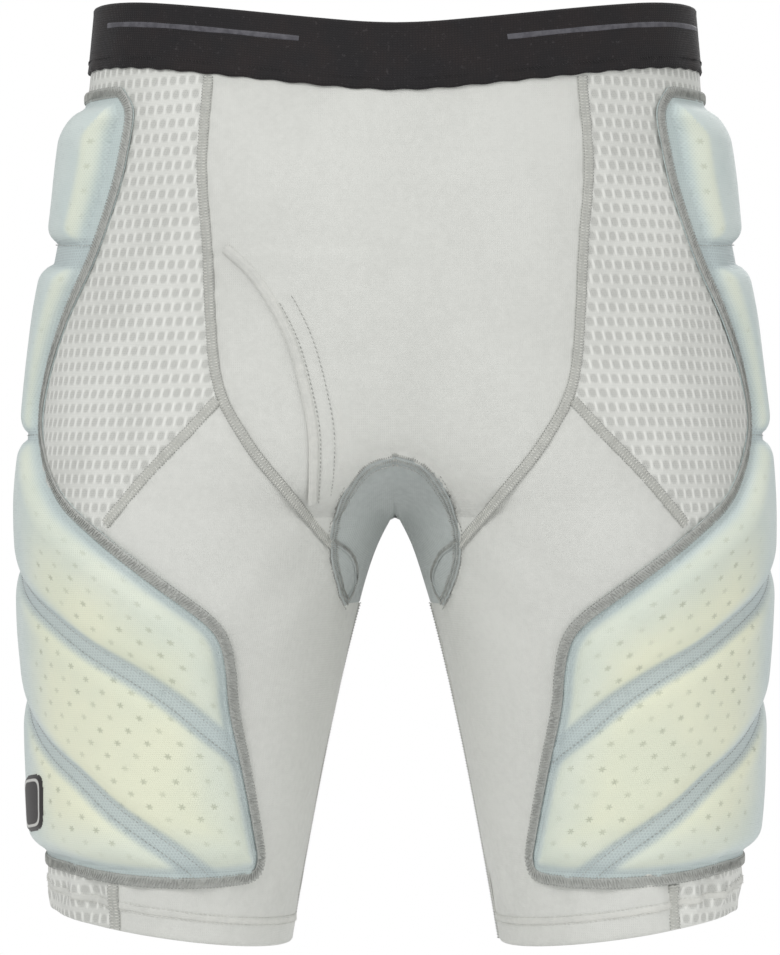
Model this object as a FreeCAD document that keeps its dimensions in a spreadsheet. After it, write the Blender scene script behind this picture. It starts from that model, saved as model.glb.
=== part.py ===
# Padded impact shorts for snow sports: stretch base shorts with foam pads sewn over hips and thighs.
#
# Frame: +Z up, the wearer faces -Y, +X is the wearer's left. The origin is the middle of the waist
# opening at the height of the band's front edge. Lengths are millimetres.
# Everything is laid on one body form. A layer is the space between two offsets of that form, and each
# panel, pad and seam is a layer cut by a sketched outline. The left half is made and then mirrored.
import FreeCAD, Part
import math
import os
import Sketcher

doc = FreeCAD.newDocument("impact_shorts")

# ---------------------------------------------------------------- driving dimensions
sheet = doc.addObject("Spreadsheet::Sheet", "sizes")
driving = [
    # body form: how far each level lies below the waist, half its width, half its depth
    ("belly_drop", 50), ("hip_drop", 160), ("rise", 263), ("thigh_drop", 370), ("outseam", 481),
    ("waist_half_width", 165.5), ("belly_half_width", 174), ("hip_half_width", 193.5),
    ("crotch_half_width", 202.5), ("thigh_half_width", 197.5), ("hem_half_width", 190),
    ("waist_half_depth", 104), ("belly_half_depth", 109), ("hip_half_depth", 117),
    ("crotch_half_depth", 113), ("thigh_half_depth", 93), ("hem_half_depth", 76),
    ("seat_shift", 7), ("leg_gap_at_hem", 58.5), ("cleft_drop", 133), ("hem_slope_drop", 19),
    # materials
    ("fabric_wall", 1), ("foam_thickness", 8), ("cover_wall", 0.8), ("band_wall", 2), ("layer_gap", 0.3),
    ("seam_height", 0.7), ("panel_gap", 0.4),
    # waistband
    ("band_height", 36), ("band_rise", 20), ("band_overlap", 8), ("stripe_drop", 12), ("stripe_height", 3),
    ("stripe_gap_left", 58), ("stripe_gap_right", 52), ("stitch_width", 2),
    # front and back centre panels
    ("centre_half_width", 101), ("yoke_end_drop", 186), ("gusset_foot_x", 35), ("gusset_foot_drop", 278),
    ("gusset_top_drop", 231), ("gusset_end_x", 23), ("gusset_end_drop", 311), ("seam_width", 7),
    ("fly_width", 8),
    # hip pads
    ("hip_pad_lap", 8), ("hip_pad_corner_x", 142), ("hip_pad_split_drop", 117), ("hip_pad_mid_x", 163),
    ("hip_pad_foot_x", 196), ("pad_back_reach", 50), ("foam_inset", 8), ("channel_width", 12),
    # hip axis
    ("hip_axis_drop", 165), ("hip_pad_radius", 53), ("thigh_pad_radius", 60),
    # thigh pads
    ("thigh_pad_corner_x", 88), ("thigh_pad_corner_drop", 325), ("thigh_pad_foot_x", 74),
    ("thigh_pad_foot_drop", 459), ("groove_width", 10), ("cover_seam_width", 6),
    # diagonal seam between the mesh side and the thigh panel
    ("diagonal_foot_x", 157), ("diagonal_foot_drop", 268),
    # hem
    ("hem_height", 18), ("hem_stitch_width", 2.4),
    # tailbone pad
    ("tailbone_half_width", 42), ("tailbone_top_drop", 84), ("tailbone_height", 128),
    # badge
    ("badge_width", 20), ("badge_height", 30), ("badge_thickness", 1.2), ("badge_drop", 406),
    ("badge_x", 198),
]
for row, (alias, number) in enumerate(driving, start=1):
    sheet.set("A%d" % row, alias)
    sheet.set("B%d" % row, str(number))
    sheet.setAlias("B%d" % row, alias)
doc.recompute()


def size(alias):
    """The number in the sheet's cell of that alias."""
    return float(getattr(sheet, alias))


def bound(expression):
    """Writes an expression in sheet aliases as FreeCAD wants it, with the sheet's name before each."""
    words = "".join(ch if ch.isalnum() or ch == "_" else " " for ch in expression).split()
    aliases = sorted({word for word in words if word in known_aliases}, key=len, reverse=True)
    pieces, rest = [], expression
    while rest:
        hit = next((word for word in aliases if rest.startswith(word)), None)
        inside_word = bool(pieces) and (pieces[-1][-1].isalnum() or pieces[-1][-1] == "_")
        if hit and not inside_word:
            pieces.append("sizes." + hit)
            rest = rest[len(hit):]
        else:
            pieces.append(rest[0])
            rest = rest[1:]
    return "".join(pieces)


known_aliases = {alias for alias, number in driving}


# ---------------------------------------------------------------- body form
def through(levels, height):
    """A smooth value at a height, through the (height, value) levels given from the top down."""
    levels = sorted(levels)
    spot = max(0, min(len(levels) - 2, sum(1 for level in levels if level[0] <= height) - 1))
    (low, v_low), (high, v_high) = levels[spot], levels[spot + 1]

    def slope(index):
        before, after = max(0, index - 1), min(len(levels) - 1, index + 1)
        return (levels[after][1] - levels[before][1]) / (levels[after][0] - levels[before][0])

    span = high - low
    f = (height - low) / span
    return ((2 * f**3 - 3 * f**2 + 1) * v_low + (f**3 - 2 * f**2 + f) * span * slope(spot)
            + (3 * f**2 - 2 * f**3) * v_high + (f**3 - f**2) * span * slope(spot + 1))


rim_spare = 25      # the form runs this far past the waist and the hem, where outlines trim it
level_names = ["waist", "belly", "hip", "crotch", "thigh", "hem"]
level_heights = [rim_spare, -size("belly_drop"), -size("hip_drop"), -size("rise"),
                 -size("thigh_drop"), -size("outseam") - rim_spare]


def section(height):
    """Centre x, centre y, half width and half depth of one half's ellipse at a height."""
    outer = through([(h, size(n + "_half_width")) for h, n in zip(level_heights, level_names)], height)
    depth = through([(h, size(n + "_half_depth")) for h, n in zip(level_heights, level_names)], height)
    shift = through(list(zip(level_heights, [0, size("seat_shift") / 3, size("seat_shift"),
                                             size("seat_shift"), size("seat_shift") / 3, 0])), height)
    if height > -size("rise"):
        cleft = max(0, (-size("cleft_drop") - height) / (size("rise") - size("cleft_drop")))
        share = cleft ** 1.8
        half = outer / (1 + share)
        return half * share, shift, half, depth
    run = (-size("rise") - height) / (size("outseam") + size("hem_slope_drop") - size("rise"))
    inner = size("leg_gap_at_hem") * run ** 0.68
    return (outer + inner) / 2, shift, (outer - inner) / 2, depth


def levels_between(top, bottom, count):
    return [top + (bottom - top) * i / count for i in range(count)]


heights = (levels_between(rim_spare, -size("cleft_drop"), 4)
           + levels_between(-size("cleft_drop"), -size("rise"), 7)
           + levels_between(-size("rise"), -size("thigh_drop"), 5)
           + levels_between(-size("thigh_drop"), -size("outseam") - rim_spare, 3)
           + [-size("outseam") - rim_spare])


around = 20         # points in one ring of the form


def half_form(name, offset):
    """The left half of the form, moved outwards by the offset, as one closed solid.

    Its ring closes on the inner side of the leg, where no pad lies."""
    rows = []
    for i in range(around + 1):
        angle = math.pi + 2 * math.pi * (i % around) / around
        row = []
        for height in heights:
            x, y, half, depth = section(height)
            row.append(FreeCAD.Vector(x + (half + offset) * math.cos(angle),
                                      y + (depth + offset) * math.sin(angle), height))
        rows.append(row)
    surface = Part.BSplineSurface()
    surface.interpolate(rows)
    skin = surface.toShape()
    ends = []
    for height in (heights[0], heights[-1]):
        rims = [edge for edge in skin.Edges
                if abs(edge.BoundBox.ZMin - height) < 0.001 and abs(edge.BoundBox.ZMax - height) < 0.001]
        ends.append(Part.Face(Part.Wire(rims)))
    shell = Part.makeShell([skin] + ends)
    shell.sewShape()
    solid = Part.Solid(shell)
    if solid.Volume < 0:
        solid.reverse()
    keep = Part.makeBox(400, 600, 700, FreeCAD.Vector(0, -300, -600))
    form = doc.addObject("Part::Feature", name)
    form.Shape = solid.common(keep)
    return form


offsets = {
    "lining_in": -2 * size("fabric_wall") - size("layer_gap"),
    "lining_out": -size("fabric_wall") - size("layer_gap"),
    "fabric_in": -size("fabric_wall"),
    "fabric_out": 0.0,
    "pad_in": size("layer_gap"),
    "seam_out": size("layer_gap") + size("seam_height"),
    "skin_out": size("layer_gap") + size("cover_wall"),
    "skin_seam_out": size("layer_gap") + size("cover_wall") + size("seam_height"),
    "band_out": size("layer_gap") + size("band_wall"),
    "band_stitch_out": size("layer_gap") + size("band_wall") + size("seam_height"),
    "foam_out": size("layer_gap") + size("foam_thickness"),
    "cover_out": size("layer_gap") + size("foam_thickness") + size("cover_wall"),
    "badge_out": size("layer_gap") + size("foam_thickness") + size("cover_wall") + size("badge_thickness"),
}
forms = {}
layers = {}


def layer(inner, outer):
    """The half layer between two named offsets of the form, made once."""
    for key in (inner, outer):
        if key not in forms:
            forms[key] = half_form("form_" + key, offsets[key])
    if (inner, outer) not in layers:
        cut = doc.addObject("Part::Cut", "layer_%s_%s" % (inner, outer))
        cut.Base = forms[outer]
        cut.Tool = forms[inner]
        layers[(inner, outer)] = cut
    return layers[(inner, outer)]


# ---------------------------------------------------------------- outlines
def origin_plane(body, role):
    return next(feature for feature in body.Origin.OriginFeatures if feature.Role == role)


def prism(name, role, points, first="300", second=None):
    """A pad of a closed outline. Points are pairs of expressions in sheet aliases.

    On XZ_Plane it runs `first` towards the front (-Y) and `second` towards the back; on YZ_Plane it runs
    `first` towards +X. Without `second` it runs `first` both ways."""
    body = doc.addObject("PartDesign::Body", name + "_outline")
    sketch = body.newObject("Sketcher::SketchObject", name + "_sketch")
    sketch.AttachmentSupport = [(origin_plane(body, role), "")]
    sketch.MapMode = "FlatFace"
    count = len(points)
    turn = 2 * math.pi / count
    corners = [FreeCAD.Vector(100 * math.cos(i * turn), 100 * math.sin(i * turn), 0) for i in range(count)]
    for i in range(count):
        sketch.addGeometry(Part.LineSegment(corners[i], corners[(i + 1) % count]), False)
    for i in range(count):
        sketch.addConstraint(Sketcher.Constraint("Coincident", i, 2, (i + 1) % count, 1))
    for i, (across, up) in enumerate(points):
        for kind, expression in (("DistanceX", across), ("DistanceY", up)):
            index = sketch.addConstraint(Sketcher.Constraint(kind, -1, 1, i, 1, 1.0))
            sketch.setExpression("Constraints[%d]" % index, bound(expression))
    pad = body.newObject("PartDesign::Pad", name + "_pad")
    pad.Profile = sketch
    pad.SideType = "Two sides"
    pad.setExpression("Length", bound(first))
    pad.setExpression("Length2", bound(second or first))
    return body


def ribbon(points, width, upright=True):
    """Outline of a strip of the given width along an open line of points, offset sideways or up."""
    def moved(sign):
        if upright:
            return [("(%s)%s(%s)/2" % (x, sign, width), z) for x, z in points]
        return [(x, "(%s)%s(%s)/2" % (z, sign, width)) for x, z in points]
    return moved("-") + moved("+")[::-1]


def common(name, *shapes):
    if len(shapes) == 2:
        feature = doc.addObject("Part::Common", name)
        feature.Base, feature.Tool = shapes
    else:
        feature = doc.addObject("Part::MultiCommon", name)
        feature.Shapes = list(shapes)
    return feature


def minus(name, base, tool):
    feature = doc.addObject("Part::Cut", name)
    feature.Base = base
    feature.Tool = tool
    return feature


def fuse(name, shapes):
    feature = doc.addObject("Part::MultiFuse", name)
    feature.Shapes = list(shapes)
    return feature


def mirrored(name, source):
    feature = doc.addObject("Part::Mirroring", name)
    feature.Source = source
    feature.Base = FreeCAD.Vector(0, 0, 0)
    feature.Normal = FreeCAD.Vector(1, 0, 0)
    return feature


nodes = []


def node(label, feature):
    feature.Label = label
    nodes.append(feature)
    return feature


def both_sides(label, left):
    """Registers a left piece and its mirrored right twin."""
    node("left_" + label, left)
    node("right_" + label, mirrored("right_" + label, left))


def across_centre(label, half):
    """A piece that crosses the middle: the left half and its mirror image, joined."""
    node(label, fuse(label, [half, mirrored(label + "_mirror", half)]))


# ---------------------------------------------------------------- waistband
def rim(drop):
    """The front view of the band's top edge, from the middle outwards, lowered by a drop."""
    shares = [("waist_half_width*0.2", "0.14"), ("waist_half_width*0.4", "0.34"), ("waist_half_width*0.6", "0.57"),
              ("waist_half_width*0.8", "0.81"), ("waist_half_width*0.95", "1"), ("waist_half_width+200", "1")]
    return [("-5", "-(%s)" % drop)] + [(x, "band_rise*%s-(%s)" % (share, drop)) for x, share in shares]


def band_strip(name, top_drop, bottom_drop, inner, outer):
    outline = prism(name, "XZ_Plane", rim(top_drop) + rim(bottom_drop)[::-1])
    return common(name + "_half", layer(inner, outer), outline)


across_centre("waistband", band_strip("waistband", "0", "band_height", "pad_in", "band_out"))
across_centre("waistband_stitching", band_strip("waistband_stitching", "band_height-5",
                                                "band_height-5+stitch_width", "band_out", "band_stitch_out"))
stripe = band_strip("waistband_stripe", "stripe_drop", "stripe_drop+stripe_height", "band_out",
                    "band_stitch_out")
stripe_side = prism("stripe_side", "XZ_Plane",
                    [("stripe_gap_left", "50"), ("400", "50"), ("400", "-100"), ("stripe_gap_left", "-100")],
                    "300", "30")
both_sides("waistband_stripe", common("left_waistband_stripe", stripe, stripe_side))

# ---------------------------------------------------------------- base fabric
below_rim = prism("below_rim", "XZ_Plane", rim("band_height-band_overlap")
                  + [("waist_half_width+200", "-outseam-80"), ("-5", "-outseam-80")])
centre_line = [
    ("centre_half_width", "40"), ("centre_half_width", "-band_height"), ("centre_half_width+3", "-72"),
    ("centre_half_width", "-117"), ("centre_half_width-5", "-yoke_end_drop"),
    ("centre_half_width-21", "-(yoke_end_drop+gusset_foot_drop)/2 + 11"),
    ("gusset_foot_x", "-gusset_foot_drop")]
gusset_arch = [
    ("gusset_foot_x", "-gusset_foot_drop"), ("gusset_foot_x*0.66", "-(gusset_top_drop*0.55+gusset_foot_drop*0.45)"),
    ("gusset_foot_x*0.33", "-(gusset_top_drop*0.85+gusset_foot_drop*0.15)"), ("0", "-gusset_top_drop")]
gusset_side = [("gusset_end_x", "-gusset_end_drop"), ("gusset_foot_x*0.95", "-gusset_foot_drop-12"),
               ("gusset_foot_x", "-gusset_foot_drop")]
diagonal_line = [
    ("centre_half_width-9", "-yoke_end_drop-12"), ("(centre_half_width+diagonal_foot_x)/2-3", "-yoke_end_drop-46"),
    ("diagonal_foot_x", "-diagonal_foot_drop"), ("400", "-diagonal_foot_drop-16")]


def shifted(points, across, up):
    return [("%s+(%s)" % (x, across), "%s+(%s)" % (z, up)) for x, z in points]


fabric = layer("fabric_in", "fabric_out")
trimmed_fabric = common("trimmed_fabric", fabric, below_rim)
centre_region = centre_line + gusset_arch[1:] + [("0", "40")]
centre_front = prism("centre_front", "XZ_Plane", centre_region, "300", "0.01")
centre_back = prism("centre_back", "XZ_Plane", centre_region, "0.01", "300")
across_centre("front_panel", common("front_half", trimmed_fabric, centre_front))
across_centre("back_panel", common("back_half", trimmed_fabric, minus("centre_back_only", centre_back,
                                                                        centre_front)))

side_region = prism("side_region", "XZ_Plane",
                    shifted(centre_line[:5], "panel_gap", "0") + shifted(diagonal_line, "panel_gap", "0")
                    + [("400", "40")])
both_sides("side_mesh", common("left_side_mesh", trimmed_fabric, side_region))

gusset_region = prism("gusset_region", "XZ_Plane",
                      shifted(gusset_arch, "0", "-panel_gap") + [("0", "-gusset_end_drop")] + gusset_side[:2])
gusset_half = common("gusset_half", fabric, gusset_region)
gusset = doc.addObject("Part::Compound", "gusset")
gusset.Links = [gusset_half, mirrored("gusset_mirror", gusset_half)]    # two halves that meet on the centre line
node("gusset", gusset)

hem_line = [("20", "-outseam-hem_slope_drop-2.3"), ("hem_half_width+20", "-outseam+2")]
leg_region = prism("leg_region", "XZ_Plane",
                   shifted(diagonal_line, "0", "-panel_gap-0.2") + hem_line[::-1]
                   + [("gusset_end_x-16", "-gusset_end_drop-panel_gap"),
                      ("gusset_end_x+panel_gap", "-gusset_end_drop-panel_gap")]
                   + shifted(gusset_side[1:], "panel_gap", "0")
                   + [("centre_half_width-21+panel_gap", "-(yoke_end_drop+gusset_foot_drop)/2 + 11-panel_gap")])
front_half_space = prism("front_half_space", "XZ_Plane",
                         [("0", "50"), ("400", "50"), ("400", "-700"), ("0", "-700")], "300", "0.01")
leg_fabric = common("leg_fabric", fabric, leg_region)
both_sides("thigh_front", common("left_thigh_front", leg_fabric, front_half_space))
both_sides("thigh_back", minus("left_thigh_back", leg_fabric, front_half_space))

# ---------------------------------------------------------------- hems and leg seams
hem_top = [(x, "%s+hem_height" % z) for x, z in hem_line]
hem_region = prism("hem_region", "XZ_Plane", hem_line + hem_top[::-1])
both_sides("hem", common("left_hem", layer("lining_in", "lining_out"), hem_region))
stitch_line = [(x, "%s+hem_height-4" % z) for x, z in hem_line]
hem_stitch = prism("hem_stitch", "XZ_Plane", ribbon(stitch_line, "hem_stitch_width", False))
both_sides("hem_stitching", common("left_hem_stitching", layer("pad_in", "seam_out"), hem_stitch))
inseam_zone = prism("inseam_zone", "YZ_Plane",
                    [("seat_shift/2-seam_width/2", "-gusset_end_drop-4"), ("seat_shift/2+seam_width/2", "-gusset_end_drop-4"),
                     ("seat_shift/2+seam_width/2", "-outseam+0.5"), ("seat_shift/2-seam_width/2", "-outseam+0.5")],
                    "(leg_gap_at_hem+thigh_half_width)/2", "10")
both_sides("inseam", common("left_inseam", layer("pad_in", "seam_out"), inseam_zone))

# ---------------------------------------------------------------- panel seams
seam_layer = layer("pad_in", "seam_out")
front_seam_line = [("centre_half_width", "-band_height-1")] + centre_line[2:]
front_seam = prism("front_seam", "XZ_Plane", ribbon(front_seam_line, "seam_width"), "300", "0.01")
back_seam = prism("back_seam", "XZ_Plane", ribbon(front_seam_line, "seam_width"), "0.01", "300")
both_sides("front_seam", common("left_front_seam", seam_layer, front_seam))
both_sides("back_seam", common("left_back_seam", seam_layer, minus("back_seam_only", back_seam, front_seam)))
diagonal_seam = prism("diagonal_seam", "XZ_Plane",
                      ribbon([("centre_half_width-9+seam_width/2", "-yoke_end_drop-15"), diagonal_line[1],
                              ("diagonal_foot_x-4", "-diagonal_foot_drop+2")], "seam_width*0.9", False),
                      "300", "0.01")
both_sides("diagonal_seam", common("left_diagonal_seam", seam_layer, diagonal_seam))
gusset_seam_line = [(x, "%s+3" % z) for x, z in gusset_arch]
gusset_seam = prism("gusset_seam", "XZ_Plane", ribbon(
    [("gusset_foot_x-4", "-gusset_foot_drop+6")] + gusset_seam_line[1:], "seam_width*0.7", False))
across_centre("gusset_seam", common("gusset_seam_half", seam_layer, gusset_seam))

# ---------------------------------------------------------------- fly, on the right front only
fly_line = [("centre_half_width-10", "-121"), ("70", "-142"), ("54", "-170"), ("46", "-198"), ("43", "-221"),
            ("45", "-248")]
fly_outline = prism("fly_binding", "XZ_Plane", ribbon(fly_line, "fly_width"), "300", "0.01")
node("fly_binding", mirrored("fly_binding_right", common("fly_binding_left", seam_layer, fly_outline)))
underlay_outline = prism("fly_underlay", "XZ_Plane",
                         [("centre_half_width-8", "-118"), ("30", "-118"), ("26", "-238"),
                          ("44", "-256"), ("centre_half_width-30", "-212"), ("centre_half_width-9", "-176")],
                         "300", "0.01")
node("fly_underlay", mirrored("fly_underlay_right",
                              common("fly_underlay_left", layer("lining_in", "lining_out"), underlay_outline)))

# ---------------------------------------------------------------- hip pads
hip_front_edge = [("hip_pad_corner_x", "-(band_height-hip_pad_lap)-14"), ("hip_pad_corner_x+4", "-(band_height-hip_pad_lap)-40"),
                  ("hip_pad_mid_x", "-hip_pad_split_drop-5"), ("(hip_pad_mid_x+hip_pad_foot_x)/2", "-156"),
                  ("hip_pad_foot_x-3", "-190"), ("hip_pad_foot_x+1", "-hip_axis_drop-hip_pad_radius-4")]


def arc_points(radius, first_angle, last_angle, count):
    """Points of an arc round the hip axis in the side view; angles count from straight down to the front."""
    step = (last_angle - first_angle) / (count - 1)
    return [("-(%s)*sin(%g)" % (radius, first_angle + i * step),
             "-hip_axis_drop-(%s)*cos(%g)" % (radius, first_angle + i * step)) for i in range(count)]


# side views: above the arc for the hip, below it for the thigh
hip_side_view = prism("hip_side_view", "YZ_Plane",
                      [("-160", "-(band_height-hip_pad_lap)+14"), ("pad_back_reach", "-(band_height-hip_pad_lap)+8")]
                      + [("pad_back_reach", "-hip_axis_drop-15")]
                      + arc_points("hip_pad_radius", -65, 75, 9) + [("-160", "-hip_axis_drop-15")], "300", "0.01")
hip_cover_front = prism("hip_cover_front", "XZ_Plane",
                        [("hip_pad_corner_x+24", "-(band_height-hip_pad_lap)+6")] + hip_front_edge
                        + [("400", "-hip_axis_drop-hip_pad_radius-4"), ("400", "-(band_height-hip_pad_lap)+6")], "300")
hip_outline = common("hip_outline", hip_side_view, hip_cover_front)


def inset_edge(points, inset):
    return [("%s+%s" % (x, inset), z) for x, z in points]


def hip_foam(name, edge, top, bottom):
    """A foam block from a front-view edge, kept clear of the cover's edge and of the hip arc."""
    front = prism(name + "_front", "XZ_Plane", edge + [("400", bottom), ("400", top)], "300")
    return common(name, layer("pad_in", "foam_out"), front, foam_side_view)


foam_side_view = prism("foam_side_view", "YZ_Plane",
                       [("-160", "-(band_height-hip_pad_lap)+4"), ("pad_back_reach-foam_inset", "-(band_height-hip_pad_lap)-2")]
                       + [("pad_back_reach-foam_inset", "-hip_axis_drop-15")]
                       + arc_points("hip_pad_radius-3", -60, 75, 9) + [("-160", "-hip_axis_drop-10")], "300", "0.01")
edge_in = inset_edge(hip_front_edge, "foam_inset*0.6")
split_top = ("hip_pad_mid_x+2", "-hip_pad_split_drop+channel_width/2")
upper_foam = hip_foam("left_hip_foam_upper",
                      [("hip_pad_corner_x+22", "-(band_height-hip_pad_lap)-4"), ("hip_pad_corner_x+5", "-(band_height-hip_pad_lap)-18"),
                       edge_in[1], split_top],
                      "-(band_height-hip_pad_lap)-4", "-hip_pad_split_drop+channel_width/2+5")
lower_foam = hip_foam("left_hip_foam_lower",
                      [("hip_pad_mid_x+10", "-hip_pad_split_drop-channel_width/2")] + edge_in[3:],
                      "-hip_pad_split_drop-channel_width/2+5", "-hip_axis_drop-hip_pad_radius-4")
both_sides("hip_foam_upper", upper_foam)
both_sides("hip_foam_lower", lower_foam)
hip_skin = common("hip_skin", layer("pad_in", "skin_out"), hip_outline)


def over_foam(name, foam_front_points, top, bottom, side_view, reach="300"):
    """The space of a foam block grown by the cover's wall, for the raised part of a cover."""
    grown = prism(name + "_front", "XZ_Plane",
                  [("%s-cover_wall" % x, z) for x, z in foam_front_points] + [("400", bottom), ("400", top)], reach)
    return common(name, layer("pad_in", "cover_out"), grown, side_view)


hip_raised_view = prism("hip_raised_view", "YZ_Plane",
                        [("-160", "-(band_height-hip_pad_lap)+5"),
                         ("pad_back_reach-foam_inset+cover_wall", "-(band_height-hip_pad_lap)-1"),
                         ("pad_back_reach-foam_inset+cover_wall", "-hip_axis_drop-15")]
                        + arc_points("hip_pad_radius-2", -60, 75, 9) + [("-160", "-hip_axis_drop-10")],
                        "300", "0.01")
upper_raised = over_foam("upper_raised",
                         [("hip_pad_corner_x+22", "-(band_height-hip_pad_lap)-3"), ("hip_pad_corner_x+5", "-(band_height-hip_pad_lap)-17"),
                          edge_in[1], ("hip_pad_mid_x+2", "-hip_pad_split_drop+channel_width/2-1")],
                         "-(band_height-hip_pad_lap)-3", "-hip_pad_split_drop+channel_width/2+4", hip_raised_view)
lower_raised = over_foam("lower_raised",
                         [("hip_pad_mid_x+10", "-hip_pad_split_drop-channel_width/2+1")] + edge_in[3:],
                         "-hip_pad_split_drop-channel_width/2+6", "-hip_axis_drop-hip_pad_radius-4", hip_raised_view)
hip_blank = fuse("hip_blank", [hip_skin, upper_raised, lower_raised])
both_sides("hip_cover", minus("left_hip_cover", minus("hip_cover_open", hip_blank, upper_foam), lower_foam))
both_sides("hip_lining", common("left_hip_lining", layer("lining_in", "lining_out"), hip_outline))
hip_edge_seam = prism("hip_edge_seam", "XZ_Plane",
                      ribbon([(x + "+cover_seam_width/2+0.4", z) for x, z in hip_front_edge[:-1]], "cover_seam_width*0.8"),
                      "300", "-20")
hip_seam_whole = common("hip_seam_whole", layer("skin_out", "skin_seam_out"), hip_edge_seam)
both_sides("hip_cover_seam", minus("left_hip_cover_seam", minus("hip_seam_below", hip_seam_whole, upper_raised), lower_raised))

# ---------------------------------------------------------------- thigh pads
thigh_top_edge = [("400", "-225"), ("hip_pad_foot_x", "-218"), ("181", "-249"), ("160", "-269"), ("130", "-292"),
                  ("thigh_pad_corner_x+12", "-thigh_pad_corner_drop+10")]
thigh_inner_edge = [("thigh_pad_corner_x", "-thigh_pad_corner_drop-6"),
                    ("(thigh_pad_corner_x+thigh_pad_foot_x)/2+2", "-(thigh_pad_corner_drop+thigh_pad_foot_drop)/2"),
                    ("thigh_pad_foot_x", "-thigh_pad_foot_drop+20"),
                    ("thigh_pad_foot_x+3", "-thigh_pad_foot_drop"),
                    ("115", "-thigh_pad_foot_drop-3"), ("400", "-thigh_pad_foot_drop+6")]
below_arc = prism("below_arc", "YZ_Plane",
                  [("-260", "-hip_axis_drop-15")] + arc_points("thigh_pad_radius-2", 75, -75, 10)
                  + [("pad_back_reach+10", "-hip_axis_drop-15"), ("pad_back_reach+10", "-600"),
                     ("-260", "-600")], "300", "0.01")
thigh_cover_front = prism("thigh_cover_front", "XZ_Plane", thigh_top_edge + thigh_inner_edge)
thigh_outline = common("thigh_outline", below_arc, thigh_cover_front)
foam_arc_view = prism("foam_arc_view", "YZ_Plane",
                      [("-260", "-hip_axis_drop-15")] + arc_points("thigh_pad_radius+4", 75, -68, 10)
                      + [("pad_back_reach+10-foam_inset", "-hip_axis_drop-20"),
                         ("pad_back_reach+10-foam_inset", "-600"), ("-260", "-600")], "300", "0.01")
raised_arc_view = prism("raised_arc_view", "YZ_Plane",
                        [("-260", "-hip_axis_drop-15")] + arc_points("thigh_pad_radius+3", 75, -68, 10)
                        + [("pad_back_reach+11-foam_inset", "-hip_axis_drop-20"),
                           ("pad_back_reach+11-foam_inset", "-600"), ("-260", "-600")], "300", "0.01")
groove_upper = [("400", "-150"), ("210", "-293"), ("160", "-335"), ("120", "-361"), ("60", "-408")]
groove_lower = [("400", "-232"), ("208", "-366"), ("182", "-391"), ("148", "-422"), ("60", "-494")]


def lowered(points, drop):
    return [(x, "%s-(%s)" % (z, drop)) for x, z in points]


thigh_foam_zone = prism("thigh_foam_zone", "XZ_Plane",
                        [("400", "-231"), ("hip_pad_foot_x-2", "-226"), ("177", "-257"), ("157", "-277"), ("129", "-299"),
                         ("thigh_pad_corner_x+15", "-thigh_pad_corner_drop+3"),
                         ("thigh_pad_corner_x+foam_inset", "-thigh_pad_corner_drop-7"),
                         ("(thigh_pad_corner_x+thigh_pad_foot_x)/2+2+foam_inset",
                          "-(thigh_pad_corner_drop+thigh_pad_foot_drop)/2"),
                         ("thigh_pad_foot_x+foam_inset+1", "-thigh_pad_foot_drop+foam_inset"),
                         ("115", "-thigh_pad_foot_drop+foam_inset-2"), ("400", "-thigh_pad_foot_drop+foam_inset+6")])
thigh_foam_whole = common("thigh_foam_whole", layer("pad_in", "foam_out"), thigh_foam_zone, foam_arc_view)
above_first = prism("above_first", "XZ_Plane", lowered(groove_upper, "-groove_width/2") + [("40", "-100"), ("400", "-100")])
between = prism("between", "XZ_Plane", lowered(groove_upper, "groove_width/2")
                + lowered(groove_lower, "-groove_width/2")[::-1])
below_second = prism("below_second", "XZ_Plane", lowered(groove_lower, "groove_width/2")
                     + [("60", "-600"), ("400", "-600")])
foam_parts = []
for label, zone in (("upper", above_first), ("middle", between), ("lower", below_second)):
    foam = common("left_thigh_foam_" + label, thigh_foam_whole, zone)
    foam_parts.append(foam)
    both_sides("thigh_foam_" + label, foam)

thigh_raised_zone = prism("thigh_raised_zone", "XZ_Plane",
                          [("400", "-230"), ("hip_pad_foot_x-3", "-225"), ("176", "-256"), ("156", "-276"), ("128", "-298"),
                           ("thigh_pad_corner_x+14", "-thigh_pad_corner_drop+4"),
                           ("thigh_pad_corner_x+foam_inset-1", "-thigh_pad_corner_drop-7"),
                           ("(thigh_pad_corner_x+thigh_pad_foot_x)/2+1+foam_inset",
                            "-(thigh_pad_corner_drop+thigh_pad_foot_drop)/2"),
                           ("thigh_pad_foot_x+foam_inset", "-thigh_pad_foot_drop+foam_inset-1"),
                           ("115", "-thigh_pad_foot_drop+foam_inset-3"), ("400", "-thigh_pad_foot_drop+foam_inset+5")])
thigh_raised_whole = common("thigh_raised_whole", layer("pad_in", "cover_out"), thigh_raised_zone, raised_arc_view)
raised_parts = []
for label, zone_points in (
        ("upper", lowered(groove_upper, "-groove_width/2+1.2") + [("40", "-100"), ("400", "-100")]),
        ("middle", lowered(groove_upper, "groove_width/2-1.2") + lowered(groove_lower, "-groove_width/2+1.2")[::-1]),
        ("lower", lowered(groove_lower, "groove_width/2-1.2") + [("60", "-600"), ("400", "-600")])):
    zone = prism("raised_" + label, "XZ_Plane", zone_points)
    raised_parts.append(common("thigh_raised_" + label, thigh_raised_whole, zone))
thigh_skin = common("thigh_skin", layer("pad_in", "skin_out"), thigh_outline)
thigh_blank = fuse("thigh_blank", [thigh_skin] + raised_parts)
opened = thigh_blank
for step, foam in enumerate(foam_parts[:-1]):
    opened = minus("thigh_opened_%d" % step, opened, foam)
both_sides("thigh_cover", minus("left_thigh_cover", opened, foam_parts[-1]))
both_sides("thigh_lining", common("left_thigh_lining", layer("lining_in", "lining_out"), thigh_outline))
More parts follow.
